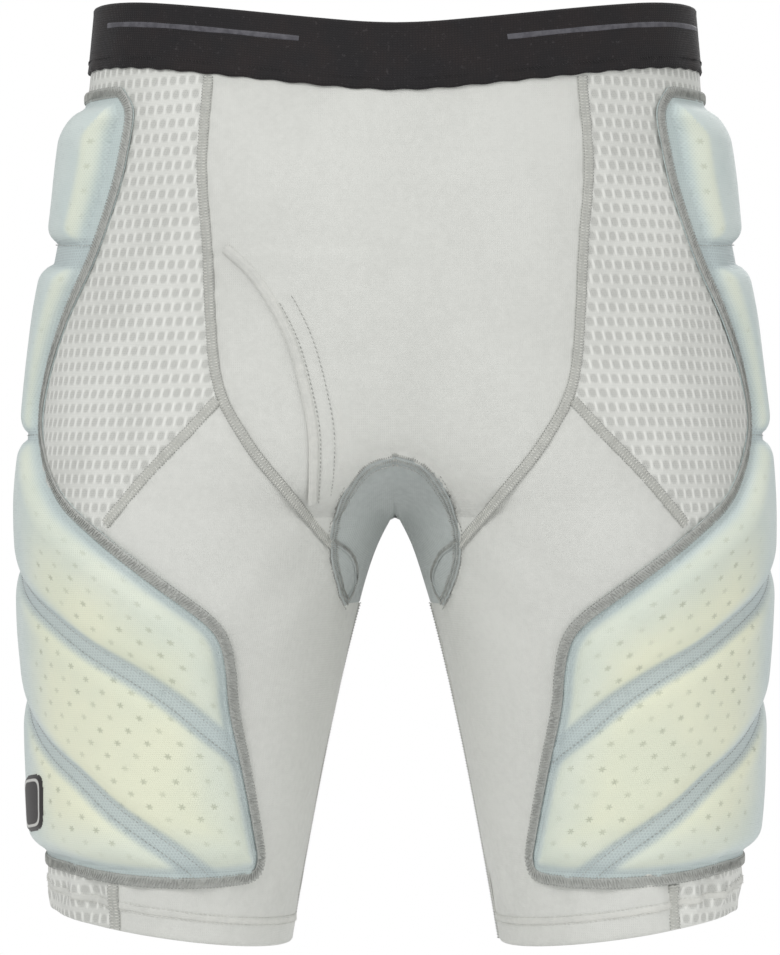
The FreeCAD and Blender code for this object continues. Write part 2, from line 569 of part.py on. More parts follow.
thigh_seam_top = prism("thigh_seam_top", "XZ_Plane",
                       ribbon([("hip_pad_foot_x-6", "-233"), ("180", "-255"), ("160", "-273"), ("130", "-296"),
                               ("thigh_pad_corner_x+12", "-thigh_pad_corner_drop+5")], "cover_seam_width", False),
                       "300", "-20")
thigh_seam_inner = prism("thigh_seam_inner", "XZ_Plane",
                         ribbon([("%s+cover_seam_width/2+0.5" % x, z) for x, z in
                                 [("thigh_pad_corner_x+12", "-thigh_pad_corner_drop+5")] + thigh_inner_edge[:3]
                                 + [("thigh_pad_foot_x+2", "-thigh_pad_foot_drop+3")]], "cover_seam_width"),
                         "300", "-20")
thigh_seam_foot = prism("thigh_seam_foot", "XZ_Plane",
                        ribbon([("thigh_pad_foot_x+5", "-thigh_pad_foot_drop+3.5"), ("115", "-thigh_pad_foot_drop+1"),
                                ("170", "-thigh_pad_foot_drop+3")], "cover_seam_width*0.7", False),
                        "300", "-20")
skin_seam_layer = layer("skin_out", "skin_seam_out")
thigh_seam_whole = fuse("thigh_seam_whole", [common("thigh_seam_a", skin_seam_layer, thigh_seam_top),
                                             common("thigh_seam_b", skin_seam_layer, thigh_seam_inner),
                                             common("thigh_seam_c", skin_seam_layer, thigh_seam_foot)])
both_sides("thigh_cover_seam", minus("left_thigh_cover_seam", thigh_seam_whole, thigh_raised_whole))

# ---------------------------------------------------------------- tailbone pad, on the seat
tailbone_shape = [("0", "-tailbone_top_drop"), ("tailbone_half_width*0.75", "-tailbone_top_drop-6"),
                  ("tailbone_half_width", "-tailbone_top_drop-26"),
                  ("tailbone_half_width*0.72", "-tailbone_top_drop-tailbone_height*0.65"),
                  ("tailbone_half_width*0.3", "-tailbone_top_drop-tailbone_height+5"),
                  ("0", "-tailbone_top_drop-tailbone_height")]


def shrunk(points, margin):
    """The tailbone outline pulled in by a margin towards its middle."""
    wide = "(1-(%s)/tailbone_half_width)" % margin
    middle = "(tailbone_top_drop+tailbone_height*0.45)"
    return [("(%s)*%s" % (x, wide), "-%s+((%s)+%s)*%s" % (middle, z, middle, wide)) for x, z in points]


def back_only(name, points):
    return prism(name, "XZ_Plane", points, "-20", "300")


tail_foam = common("tail_foam_half", layer("pad_in", "foam_out"), back_only("tail_foam", shrunk(tailbone_shape, "foam_inset")))
across_centre("tailbone_foam", tail_foam)
tail_raised = common("tail_raised", layer("pad_in", "cover_out"),
                     back_only("tail_raised", shrunk(tailbone_shape, "foam_inset-1")))
tail_skin = common("tail_skin", layer("pad_in", "skin_out"), back_only("tail_skin", tailbone_shape))
across_centre("tailbone_cover", minus("tail_cover_half", fuse("tail_blank", [tail_skin, tail_raised]), tail_foam))
tail_ring = minus("tail_ring", back_only("tail_ring_out", shrunk(tailbone_shape, "0.5")),
                  back_only("tail_ring_in", shrunk(tailbone_shape, "cover_seam_width-0.5")))
across_centre("tailbone_seam", common("tail_seam_half", layer("skin_out", "skin_seam_out"), tail_ring))

# ---------------------------------------------------------------- badge, on the right thigh only
badge_outline = prism("badge", "XZ_Plane",
                      [("badge_x-badge_width/2", "-badge_drop"), ("badge_x+badge_width/2", "-badge_drop"),
                       ("badge_x+badge_width/2", "-badge_drop-badge_height"),
                       ("badge_x-badge_width/2", "-badge_drop-badge_height")], "300", "-12")
node("badge", mirrored("badge_right", common("badge_left", layer("cover_out", "badge_out"), badge_outline)))

# ---------------------------------------------------------------- build, check and write
doc.recompute()
faults = []
for item in doc.Objects:
    if "Invalid" in item.State or "Error" in item.State:
        faults.append("%s: %s" % (item.Name, item.State))
for piece in nodes:
    if piece.Shape.isNull() or not piece.Shape.isValid() or piece.Shape.Volume <= 0:
        faults.append("%s: shape is null, empty or not valid" % piece.Label)
if faults:
    raise RuntimeError("; ".join(faults))

os.makedirs("parts", exist_ok=True)
for piece in nodes:
    piece.Shape.exportStep("parts/%s.step" % piece.Label)
    box = piece.Shape.BoundBox
    print("%-24s solids %2d  volume %9.0f  x %6.1f %6.1f  y %6.1f %6.1f  z %6.1f %6.1f" % (
        piece.Label, len(piece.Shape.Solids), piece.Shape.Volume,
        box.XMin, box.XMax, box.YMin, box.YMax, box.ZMin, box.ZMax))
print("nodes", len(nodes))
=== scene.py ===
# Padded impact shorts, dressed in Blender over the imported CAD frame. Metres, +Z up, the wearer faces -Y.
import math

import bmesh
import bpy
import numpy as np
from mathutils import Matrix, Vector
from mathutils.kdtree import KDTree


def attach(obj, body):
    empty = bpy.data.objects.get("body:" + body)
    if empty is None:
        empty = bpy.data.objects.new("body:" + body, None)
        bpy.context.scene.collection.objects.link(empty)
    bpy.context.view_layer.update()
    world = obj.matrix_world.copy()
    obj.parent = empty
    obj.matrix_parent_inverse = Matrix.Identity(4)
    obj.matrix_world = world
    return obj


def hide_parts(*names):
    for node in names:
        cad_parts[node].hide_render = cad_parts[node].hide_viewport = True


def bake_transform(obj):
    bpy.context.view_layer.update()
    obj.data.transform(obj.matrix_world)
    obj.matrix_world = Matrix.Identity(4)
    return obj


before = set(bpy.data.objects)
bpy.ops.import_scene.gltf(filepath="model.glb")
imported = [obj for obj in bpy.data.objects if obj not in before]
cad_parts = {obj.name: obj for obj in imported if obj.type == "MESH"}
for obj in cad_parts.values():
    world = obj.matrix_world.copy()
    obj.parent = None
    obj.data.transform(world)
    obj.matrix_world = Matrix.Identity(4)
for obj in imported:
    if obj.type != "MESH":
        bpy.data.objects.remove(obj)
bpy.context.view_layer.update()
sides = {"left": 1, "right": -1}
print("frame loaded", len(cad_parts), "nodes")

# body form: one half (+X), the other is its mirror image
bodyForm = {
    "heights": [0.025, -0.05, -0.16, -0.263, -0.37, -0.506],
    "halfWidths": [0.1655, 0.174, 0.1935, 0.2025, 0.1975, 0.190],
    "halfDepths": [0.104, 0.109, 0.117, 0.113, 0.093, 0.076],
    "seatShift": [0, 0.0023, 0.007, 0.007, 0.0023, 0],
    "rise": 0.263, "cleftStart": 0.133, "cleftPower": 1.8,
    "legGap": 0.0585, "innerHem": 0.5, "innerPower": 0.68,
    "frontFillet": 0.045,       # rounds the front and the seat between the legs
}
rimShape = {"rise": 0.020}
seatLine = 0.004        # y that parts the front of the form from its back
hemShape = {"innerZ": -0.5, "outerZ": -0.481, "innerX": 0.0585, "outerX": 0.19}


def through(values, z):
    heights = np.array(bodyForm["heights"][::-1])
    values = np.array(values[::-1], float)
    slopes = np.gradient(values, heights)
    slopes[1:-1] = (values[2:] - values[:-2]) / (heights[2:] - heights[:-2])
    spot = np.clip(np.searchsorted(heights, z, side="right") - 1, 0, len(heights) - 2)
    span = heights[spot + 1] - heights[spot]
    f = (z - heights[spot]) / span
    return ((2 * f**3 - 3 * f**2 + 1) * values[spot] + (f**3 - 2 * f**2 + f) * span * slopes[spot]
            + (3 * f**2 - 2 * f**3) * values[spot + 1] + (f**3 - f**2) * span * slopes[spot + 1])


def section(z):
    # centre x, centre y, half width, half depth, and how far the two legs have parted (0 to 1)
    z = np.asarray(z, float)
    outer = through(bodyForm["halfWidths"], z)
    depth = through(bodyForm["halfDepths"], z)
    shift = through(bodyForm["seatShift"], z)
    parted = np.clip((-bodyForm["cleftStart"] - z) / (bodyForm["rise"] - bodyForm["cleftStart"]), 0, 1)
    parted = parted ** bodyForm["cleftPower"]
    run = np.clip((-bodyForm["rise"] - z) / (bodyForm["innerHem"] - bodyForm["rise"]), 0, None)
    inner = bodyForm["legGap"] * run ** bodyForm["innerPower"]
    inLeg = z <= -bodyForm["rise"]
    half = np.where(inLeg, (outer - inner) / 2, outer / (1 + parted))
    centre = np.where(inLeg, (outer + inner) / 2, half * parted)
    return centre, shift, half, depth, parted, inLeg


def smoothStep(low, high, value):
    t = np.clip((np.asarray(value, float) - low) / (high - low), 0, 1)
    return t * t * (3 - 2 * t)


def formAt(x, z, back, out):
    # the point of the front (or back) face over x at height z, and its outward normal
    centre, shift, half, depth, parted, inLeg = section(z)
    fillet = np.minimum(bodyForm["frontFillet"] * np.sqrt(1 - parted), centre)
    filleted = (~inLeg) & (x < fillet) & (fillet > 1e-5)
    safe = np.maximum(fillet, 1e-5)
    reached = np.where(filleted, (x * x + safe * safe) / (2 * safe), x)
    sine = np.clip((reached - centre) / half, -1, 1)
    cosine = np.sqrt(1 - sine * sine) * np.where(back, -1, 1)
    normalX = sine / half * np.where(filleted, x / safe, 1)
    normalY = -cosine / depth
    length = np.sqrt(normalX**2 + normalY**2)
    normalX, normalY = normalX / length, normalY / length
    point = np.stack([x + out * normalX, shift - depth * cosine + out * normalY, z + 0 * x], -1)
    return point, np.stack([normalX, normalY, 0 * normalX], -1)


def ringAngle(u, z):
    centre, shift, half, depth, parted, inLeg = section(z)
    start = np.where(inLeg, -math.pi / 2, -np.arcsin(np.clip(centre / half, 0, 1)))
    return start + (math.pi - 2 * start) * u


def ringPoint(u, z, out):
    # u runs 0 to 1 from the middle of the front (or the inner leg) round the outer side to the back
    angle = ringAngle(u, z)
    centre, shift, half, depth, parted, inLeg = section(z)
    x = np.maximum(centre + half * np.sin(angle), 0)
    return formAt(x, z, np.cos(angle) < 0, out)


def anglePoint(angle, z, out):
    # angle 0 faces the front over the leg's middle, 90 degrees is the outer side
    centre, shift, half, depth, parted, inLeg = section(z)
    x = centre + half * np.sin(angle)
    return formAt(x, z, np.cos(angle) < 0, out)


def rimRise(x):
    # the waist edge dips in the middle and climbs to the sides, front and back alike
    share = np.interp(np.abs(x) / bodyForm["halfWidths"][0], [0, 0.2, 0.4, 0.6, 0.8, 0.95, 2],
                      [0, 0.14, 0.34, 0.57, 0.81, 1, 1])
    return rimShape["rise"] * share


def hemHeight(x):
    run = (np.asarray(x) - hemShape["innerX"]) / (hemShape["outerX"] - hemShape["innerX"])
    return hemShape["innerZ"] + (hemShape["outerZ"] - hemShape["innerZ"]) * run


# soft unevenness: a few crossing waves whose directions and lengths are drawn once
def makeWaves(count, shortest, longest, seed):
    dice = np.random.default_rng(seed)
    directions = dice.normal(size=(count, 3))
    directions /= np.linalg.norm(directions, axis=1)[:, None]
    lengths = dice.uniform(shortest, longest, count)
    return directions * (2 * math.pi / lengths)[:, None], dice.uniform(0, 6.28, count)


waves = {"slow": makeWaves(9, 0.05, 0.13, 3), "crease": makeWaves(12, 0.011, 0.03, 5),
         "pucker": makeWaves(14, 0.0055, 0.011, 11)}


def waviness(kind, points, side):
    vectors, phases = waves[kind]
    placed = points * np.array([side, 1, 1])
    return np.sin(placed @ vectors.T + phases).sum(-1) / math.sqrt(len(phases))


# seam routes, as (x, z) on the front view, from top to bottom
frontSeamRoute = [(0.101, -0.030), (0.104, -0.072), (0.101, -0.117), (0.096, -0.186), (0.080, -0.221),
                  (0.0575, -0.250), (0.035, -0.278)]
diagonalRoute = [(0.092, -0.198), (0.1105, -0.217), (0.133, -0.240), (0.157, -0.268)]
gussetRoute = [(0.0, -0.231), (0.0145, -0.236), (0.0255, -0.250), (0.0325, -0.268), (0.0335, -0.285),
               (0.030, -0.302), (0.0265, -0.310)]
flyRoute = [(0.091, -0.119), (0.078, -0.131), (0.066, -0.148), (0.055, -0.170), (0.0475, -0.197),
            (0.0435, -0.222), (0.0445, -0.256)]


def smoothRoute(points, spacing, closed=False):
    # an even walk along a curve through the points
    pts = np.array(points, float)
    count = len(pts)
    walk = []
    for i in range(count if closed else count - 1):
        if closed:
            a, b, c, d = (pts[(i + k) % count] for k in (-1, 0, 1, 2))
        else:
            a, b, c, d = (pts[min(max(i + k, 0), count - 1)] for k in (-1, 0, 1, 2))
        for t in np.linspace(0, 1, 24, endpoint=False):
            walk.append(0.5 * (2 * b + (c - a) * t + (2 * a - 5 * b + 4 * c - d) * t * t
                               + (3 * b - a - 3 * c + d) * t**3))
    walk.append(pts[0] if closed else pts[-1])
    walk = np.array(walk)
    steps = np.concatenate([[0], np.cumsum(np.linalg.norm(np.diff(walk, axis=0), axis=1))])
    total = max(4, int(steps[-1] / spacing))
    even = np.linspace(0, steps[-1], total + 1)
    return np.stack([np.interp(even, steps, walk[:, k]) for k in range(walk.shape[1])], -1)


def routeX(path, z):
    # the x of a seam's path at a height; the paths fall steadily
    return np.interp(-np.asarray(z), -path[:, 1], path[:, 0])


frontSeamPath = smoothRoute(frontSeamRoute, 0.002)


# master cloth grid of one half
clothGrid = {"columns": 232, "rows": 226, "topZ": -0.022, "bottomZ": -0.49, "snap": 0.0024}
crotchRows = {"share": 0.75, "reach": 0.02, "smooth": 40, "smoothReach": 0.012}


def gridHeights(u, v):
    # rows are level in the middle, follow the waist edge at the top and the slanting hem at the bottom
    top, bottom = clothGrid["topZ"], clothGrid["bottomZ"]
    level = bottom + (top - bottom) * v
    z = level.copy()
    for _ in range(4):
        point, _ = ringPoint(u, z, 0.0)
        rimPull = np.clip(1 - (1 - v) / 0.35, 0, 1) ** 2
        hemPull = np.clip(1 - v / 0.35, 0, 1) ** 2
        z = level + rimRise(point[..., 0]) * rimPull + (hemHeight(point[..., 0]) - bottom) * hemPull
    # closer rows where the legs part
    above = z + bodyForm["rise"]
    return z - crotchRows["share"] * above * np.exp(-(above / crotchRows["reach"]) ** 2)


def addGrid(name, columns, rows):
    bpy.ops.object.select_all(action="DESELECT")
    bpy.ops.mesh.primitive_grid_add(x_subdivisions=columns - 1, y_subdivisions=rows - 1, size=1)
    piece = bpy.context.object
    piece.name = name
    piece.data.name = name
    flat = np.zeros(len(piece.data.vertices) * 3)
    piece.data.vertices.foreach_get("co", flat)
    flat = flat.reshape(-1, 3)
    return piece, flat[:, 0] + 0.5, flat[:, 1] + 0.5


def setPoints(piece, points):
    piece.data.vertices.foreach_set("co", np.ascontiguousarray(points, dtype=np.float32).ravel())
    piece.data.update()


def faceMiddles(piece, values):
    loops = np.zeros(len(piece.data.loops), int)
    piece.data.loops.foreach_get("vertex_index", loops)
    return values[loops].reshape(len(piece.data.polygons), 4, -1).mean(1)


def setUv(piece, across, along):
    # cloth coordinates in metres, so that a weave keeps its scale
    piece.data.uv_layers[0].name = "clothUv"
    layer = piece.data.uv_layers["clothUv"]
    loops = np.zeros(len(piece.data.loops), int)
    piece.data.loops.foreach_get("vertex_index", loops)
    layer.data.foreach_set("uv", np.stack([across[loops], along[loops]], -1).astype(np.float32).ravel())


def setShade(piece, name, values):
    layer = piece.data.attributes.new(name, "FLOAT", "POINT")
    layer.data.foreach_set("value", values.astype(np.float32))


def editMesh(piece, change):
    mesh = bmesh.new()
    mesh.from_mesh(piece.data)
    change(mesh)
    mesh.to_mesh(piece.data)
    mesh.free()


def keepFaces(piece, keep):
    def dropRest(mesh):
        rest = [face for face, kept in zip(mesh.faces, keep) if not kept]
        bmesh.ops.delete(mesh, geom=rest, context="FACES")
    editMesh(piece, dropRest)


def arcLengths(points, columns, zero):
    # signed cloth length round each row, measured from the column 'zero'
    rows = points.reshape(-1, columns, 3)
    steps = np.linalg.norm(np.diff(rows, axis=1), axis=2)
    run = np.concatenate([np.zeros((len(rows), 1)), np.cumsum(steps, axis=1)], axis=1)
    return (run - run[:, zero][:, None]).ravel()


def only(piece):
    bpy.ops.object.select_all(action="DESELECT")
    piece.select_set(True)
    bpy.context.view_layer.objects.active = piece


def applyAll(piece):
    only(piece)
    for modifier in list(piece.modifiers):
        bpy.ops.object.modifier_apply(modifier=modifier.name)


def mirrorPiece(piece):
    for corner in piece.data.vertices:
        corner.co.x = -corner.co.x
    piece.data.flip_normals()


def mirrorRight(piece, side):
    # every piece is shaped on the wearer's left, +X, and turned over for the right
    if sides[side] < 0:
        mirrorPiece(piece)


def weld(piece, distance):
    editMesh(piece, lambda mesh: bmesh.ops.remove_doubles(mesh, verts=mesh.verts, dist=distance))


def alignNormals(piece):
    only(piece)
    bpy.ops.object.mode_set(mode="EDIT")
    bpy.ops.mesh.select_all(action="SELECT")
    bpy.ops.mesh.normals_make_consistent(inside=False)
    bpy.ops.object.mode_set(mode="OBJECT")


def joinPieces(name, parts):
    bpy.ops.object.select_all(action="DESELECT")
    for part in parts:
        part.select_set(True)
    bpy.context.view_layer.objects.active = parts[0]
    bpy.ops.object.join()
    piece = bpy.context.object
    piece.name = name
    piece.data.name = name
    return piece


def thicken(piece, thickness):
    solid = piece.modifiers.new("thickness", "SOLIDIFY")
    solid.thickness = thickness
    solid.offset = -1
    applyAll(piece)


def smoothShade(piece, angle=60):
    only(piece)
    bpy.ops.object.shade_smooth_by_angle(angle=math.radians(angle))
    applyAll(piece)


def finishPiece(piece, material, nodes, side=None):
    piece.data.materials.clear()
    piece.data.materials.append(material)
    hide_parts(*nodes)
    if side is None:
        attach(piece, "pelvis")
    else:
        followLeg(piece)


def followLeg(piece):
    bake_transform(piece)


print("form ready")

# camera and studio
studio = {"cameraAt": (-0.0028, -2.2, -0.2416), "lens": 148.1, "floorZ": -0.615, "floorRadius": 0.75,
          "worldLight": 0.56, "keyPower": 16.5, "fillPower": 6, "topPower": 6, "backPower": 10}


def buildStudio():
    world = bpy.data.worlds.new("studioWorld")
    bpy.context.scene.world = world
    world.use_nodes = True
    tree = world.node_tree
    tree.nodes.clear()
    ambient = tree.nodes.new("ShaderNodeBackground")
    ambient.inputs["Color"].default_value = (1, 1, 1, 1)
    ambient.inputs["Strength"].default_value = studio["worldLight"]
    backdrop = tree.nodes.new("ShaderNodeBackground")
    backdrop.inputs["Color"].default_value = (1, 1, 1, 1)
    backdrop.inputs["Strength"].default_value = 1.0
    ray = tree.nodes.new("ShaderNodeLightPath")
    mix = tree.nodes.new("ShaderNodeMixShader")
    output = tree.nodes.new("ShaderNodeOutputWorld")
    tree.links.new(ray.outputs["Is Camera Ray"], mix.inputs[0])
    tree.links.new(ambient.outputs[0], mix.inputs[1])
    tree.links.new(backdrop.outputs[0], mix.inputs[2])
    tree.links.new(mix.outputs[0], output.inputs[0])

    bpy.ops.object.select_all(action="DESELECT")
    bpy.ops.object.camera_add(location=studio["cameraAt"], rotation=(math.pi / 2, 0, 0))
    camera = bpy.context.object
    camera.data.sensor_width = 36
    camera.data.lens = studio["lens"]
    camera.data.clip_end = 20
    bpy.context.scene.camera = camera

    def softLight(name, place, power, size):
        bpy.ops.object.light_add(type="AREA", location=place)
        lamp = bpy.context.object
        lamp.name = name
        lamp.data.energy = power
        lamp.data.shape = "DISK"
        lamp.data.size = size
        lamp.rotation_mode = "QUATERNION"
        lamp.rotation_quaternion = (Vector((0, 0, -0.25)) - Vector(place)).to_track_quat("-Z", "Y")

    softLight("keyLight", (-0.9, -1.7, 0.9), studio["keyPower"], 1.1)
    softLight("fillLight", (1.5, -1.3, 0.1), studio["fillPower"], 1.4)
    softLight("topLight", (0.1, 0.1, 1.5), studio["topPower"], 1.0)
    softLight("backLight", (0.5, 1.8, 0.5), studio["backPower"], 1.3)

    bpy.ops.mesh.primitive_circle_add(vertices=96, radius=studio["floorRadius"], fill_type="NGON",
                                      location=(0, 0, studio["floorZ"]))
    floor = bpy.context.object
    floor.name = "studioFloor"
    paper = bpy.data.materials.new("floorPaper")
    paper.use_nodes = True
    shader = paper.node_tree.nodes["Principled BSDF"]
    shader.inputs["Base Color"].default_value = (0.9, 0.9, 0.9, 1)
    shader.inputs["Roughness"].default_value = 0.8
    floor.data.materials.append(paper)


buildStudio()
bpy.context.scene.view_settings.view_transform = "Standard"
print("studio ready")

# materials
def linear(r, g, b):
    # a screen colour, 0 to 255, as scene linear
    return tuple((v / 255 / 12.92) if v / 255 <= 0.04045 else ((v / 255 + 0.055) / 1.055) ** 2.4
                 for v in (r, g, b)) + (1,)


class ClothTree:
    # small helper that adds and joins shader nodes
    def __init__(self, name, roughness, sheen=0.0, sheenRough=0.5):
        self.material = bpy.data.materials.new(name)
        self.material.use_nodes = True
        self.tree = self.material.node_tree
        self.shader = self.tree.nodes["Principled BSDF"]
        self.shader.inputs["Roughness"].default_value = roughness
        self.shader.inputs["Sheen Weight"].default_value = sheen
        self.shader.inputs["Sheen Roughness"].default_value = sheenRough
        self.shader.inputs["Specular IOR Level"].default_value = 0.3

    def add(self, kind, **settings):
        node = self.tree.nodes.new(kind)
        for key, value in settings.items():
            setattr(node, key, value)
        return node

    def join(self, source, target):
        self.tree.links.new(source, target)

    def clothUv(self, acrossScale=1.0, alongScale=1.0):
        coords = self.add("ShaderNodeUVMap", uv_map="clothUv")
        mapping = self.add("ShaderNodeMapping")
        mapping.inputs["Scale"].default_value = (acrossScale, alongScale, 1)
        self.join(coords.outputs["UV"], mapping.inputs["Vector"])
        return mapping.outputs["Vector"]

    def maths(self, operation, first, second=None):
        node = self.add("ShaderNodeMath", operation=operation)
        for value, socket in ((first, node.inputs[0]), (second, node.inputs[1])):
            if value is None:
                continue
            if isinstance(value, (int, float)):
                socket.default_value = value
            else:
                self.join(value, socket)
        return node.outputs[0]

    def times(self, first, second):
        return self.maths("MULTIPLY", first, second)

    def ramp(self, value, low, high, start=0.0, end=1.0):
        node = self.add("ShaderNodeMapRange", interpolation_type="SMOOTHSTEP")
        self.join(value, node.inputs["Value"])
        node.inputs["From Min"].default_value = low
        node.inputs["From Max"].default_value = high
        node.inputs["To Min"].default_value = start
        node.inputs["To Max"].default_value = end
        return node.outputs[0]

    def noise(self, scale, detail, roughness):
        coords = self.add("ShaderNodeTexCoord")
        node = self.add("ShaderNodeTexNoise")
        node.inputs["Scale"].default_value = scale
        node.inputs["Detail"].default_value = detail
        node.inputs["Roughness"].default_value = roughness
        self.join(coords.outputs["Object"], node.inputs["Vector"])
        return node.outputs["Fac"]

    def mix(self, factor, first, second):
        node = self.add("ShaderNodeMix", data_type="RGBA")
        for value, socket in ((factor, node.inputs[0]), (first, node.inputs[6]), (second, node.inputs[7])):
            if isinstance(value, (int, float, tuple)):
                socket.default_value = value
            else:
                self.join(value, socket)
        return node.outputs[2]

    def attribute(self, name):
        node = self.add("ShaderNodeAttribute", attribute_name=name)
        return node.outputs["Fac"]

    def split(self, vector):
        node = self.add("ShaderNodeSeparateXYZ")
        self.join(vector, node.inputs[0])
        return node.outputs[0], node.outputs[1]

    def lattice(self, cellWidth, cellHeight):
        # place within a cell, -0.5 to 0.5 each way; every second row is slid by half a cell
        x, y = self.split(self.clothUv(1 / cellWidth, 1 / cellHeight))
        row = self.maths("FLOOR", y)
        odd = self.maths("MODULO", self.maths("ABSOLUTE", row), 2.0)
        slid = self.maths("ADD", x, self.times(odd, 0.5))
        cellX = self.maths("SUBTRACT", self.maths("FRACT", slid), 0.5)
        cellY = self.maths("SUBTRACT", self.maths("FRACT", y), 0.5)
        return cellX, cellY

    def blob(self, cellX, cellY, radiusX, radiusY, soft, power=2.0):
        # a rounded spot in each cell: 1 inside, 0 outside
        a = self.maths("POWER", self.maths("DIVIDE", self.maths("ABSOLUTE", cellX), radiusX), power)
        b = self.maths("POWER", self.maths("DIVIDE", self.maths("ABSOLUTE", cellY), radiusY), power)
        reach = self.maths("POWER", self.maths("ADD", a, b), 1 / power)
        return self.ramp(reach, 1 - soft, 1 + soft, 1.0, 0.0)

    def wave(self, value, cycles):
        # 0 to 1 ripple along a coordinate
        ripple = self.maths("SINE", self.times(value, cycles * 2 * math.pi))
        return self.maths("ADD", self.times(ripple, 0.5), 0.5)

    def bump(self, height, distance, strength=1.0, under=None):
        node = self.add("ShaderNodeBump")
        node.inputs["Strength"].default_value = strength
        node.inputs["Distance"].default_value = distance
        self.join(height, node.inputs["Height"])
        if under is not None:
            self.join(under, node.inputs["Normal"])
        return node.outputs["Normal"]

    def colour(self, value):
        if isinstance(value, tuple):
            self.shader.inputs["Base Color"].default_value = value
        else:
            self.join(value, self.shader.inputs["Base Color"])

    def rough(self, value):
        self.join(value, self.shader.inputs["Roughness"])

    def finishWith(self, normal):
        self.join(normal, self.shader.inputs["Normal"])
        return self.material


clothColours = {
    "knit": linear(221, 222, 217), "knitDeep": linear(211, 212, 207),
    # the bubble mesh's window colour is painted shade in its sunken windows, its bar colour a painted
    # highlight on its raised bars
    "meshBase": linear(228, 229, 224), "meshWindowShade": linear(188, 189, 184), "meshBarHighlight": linear(242, 243, 238),
    # the cover's groove colour is painted shade in the sewn grooves; its net colour darkens the net's
    # openings, partly the mesh's own open pattern and partly painted shade
    "cover": linear(216, 227, 224), "coverGrooveShade": linear(193, 206, 207), "foamShow": linear(238, 240, 214),
    # the hole colour is painted shade in the foam's drilled holes
    "drillHoleShade": linear(176, 181, 158), "coverNetShade": linear(160, 168, 170),
    "foam": linear(236, 236, 190), "gusset": linear(190, 196, 194), "lining": linear(214, 214, 210),
    "thread": linear(228, 228, 222), "threadGrey": linear(184, 185, 180),
    "band": linear(33, 31, 33), "bandWarm": linear(41, 35, 35), "bandDeep": linear(20, 19, 21),
    "stripe": linear(94, 93, 99), "badge": linear(58, 56, 56), "badgeEdge": linear(206, 206, 202),
}


def jerseyMaterial(name, light, deep, wales=900, courses=760):
    # fine stretch jersey: close wales and courses with a soft sheen
    cloth = ClothTree(name, 0.62, sheen=0.18, sheenRough=0.45)
    u, v = cloth.split(cloth.clothUv())
    loops = cloth.wave(cloth.maths("ADD", u, cloth.times(cloth.wave(v, courses), 0.0004)), wales)
    rows = cloth.wave(v, courses)
    knit = cloth.times(loops, cloth.ramp(rows, 0.0, 1.0, 0.55, 1.0))
    slub = cloth.noise(260, 2, 0.6)
    cloud = cloth.noise(9, 3, 0.55)
    shade = cloth.maths("ADD", cloth.times(cloud, 0.75), cloth.times(slub, 0.35))
    tone = cloth.mix(cloth.ramp(shade, 0.36, 0.75), light, deep)
    tone = cloth.mix(cloth.ramp(knit, 0.0, 0.4, 0.16, 0.0), tone, deep)
    cloth.colour(tone)
    cloth.rough(cloth.ramp(slub, 0.3, 0.7, 0.55, 0.7))
    grain = cloth.bump(knit, 0.00022, 0.5)
    return cloth.finishWith(cloth.bump(slub, 0.0004, 0.22, under=grain))


def bubbleMeshMaterial(name):
    # open warp knit: rounded sunken windows in staggered rows, darkened as painted shade, and raised bars
    # between them lightened as a painted highlight; the small holes are partly the knit's own openings and
    # partly painted shade, darkest inside the windows
    cloth = ClothTree(name, 0.66, sheen=0.15)
    cellX, cellY = cloth.lattice(0.0062, 0.0077)
    window = cloth.blob(cellX, cellY, 0.30, 0.30, 0.38, 2.4)
    edgeX = cloth.maths("SUBTRACT", cloth.maths("ABSOLUTE", cellX), 0.5)
    bar = cloth.blob(edgeX, cellY, 0.135, 0.36, 0.35, 3.0)
    holeX, holeY = cloth.lattice(0.00105, 0.00095)
    holes = cloth.blob(holeX, holeY, 0.28, 0.28, 0.3)
    cloud = cloth.noise(14, 3, 0.6)
    base = cloth.mix(cloth.ramp(cloud, 0.3, 0.7), clothColours["meshBase"], clothColours["knitDeep"])
    # painted shade: the sunken windows darkened
    windowShaded = cloth.mix(cloth.times(window, 0.56), base, clothColours["meshWindowShade"])
    # painted highlight: the raised bars lightened
    barHighlighted = cloth.mix(cloth.times(bar, 0.7), windowShaded, clothColours["meshBarHighlight"])
    # holes darkened, most inside the windows: partly the knit's own openings, partly painted shade
    pricked = cloth.mix(cloth.times(holes, cloth.ramp(window, 0.0, 1.0, 0.08, 0.30)), barHighlighted,
                        linear(120, 121, 118))
    cloth.colour(pricked)
    relief = cloth.maths("SUBTRACT", cloth.times(bar, 0.75), cloth.times(window, 1.0))
    normal = cloth.bump(relief, 0.0005, 0.6)
    return cloth.finishWith(cloth.bump(holes, -0.0003, 0.4, under=normal))


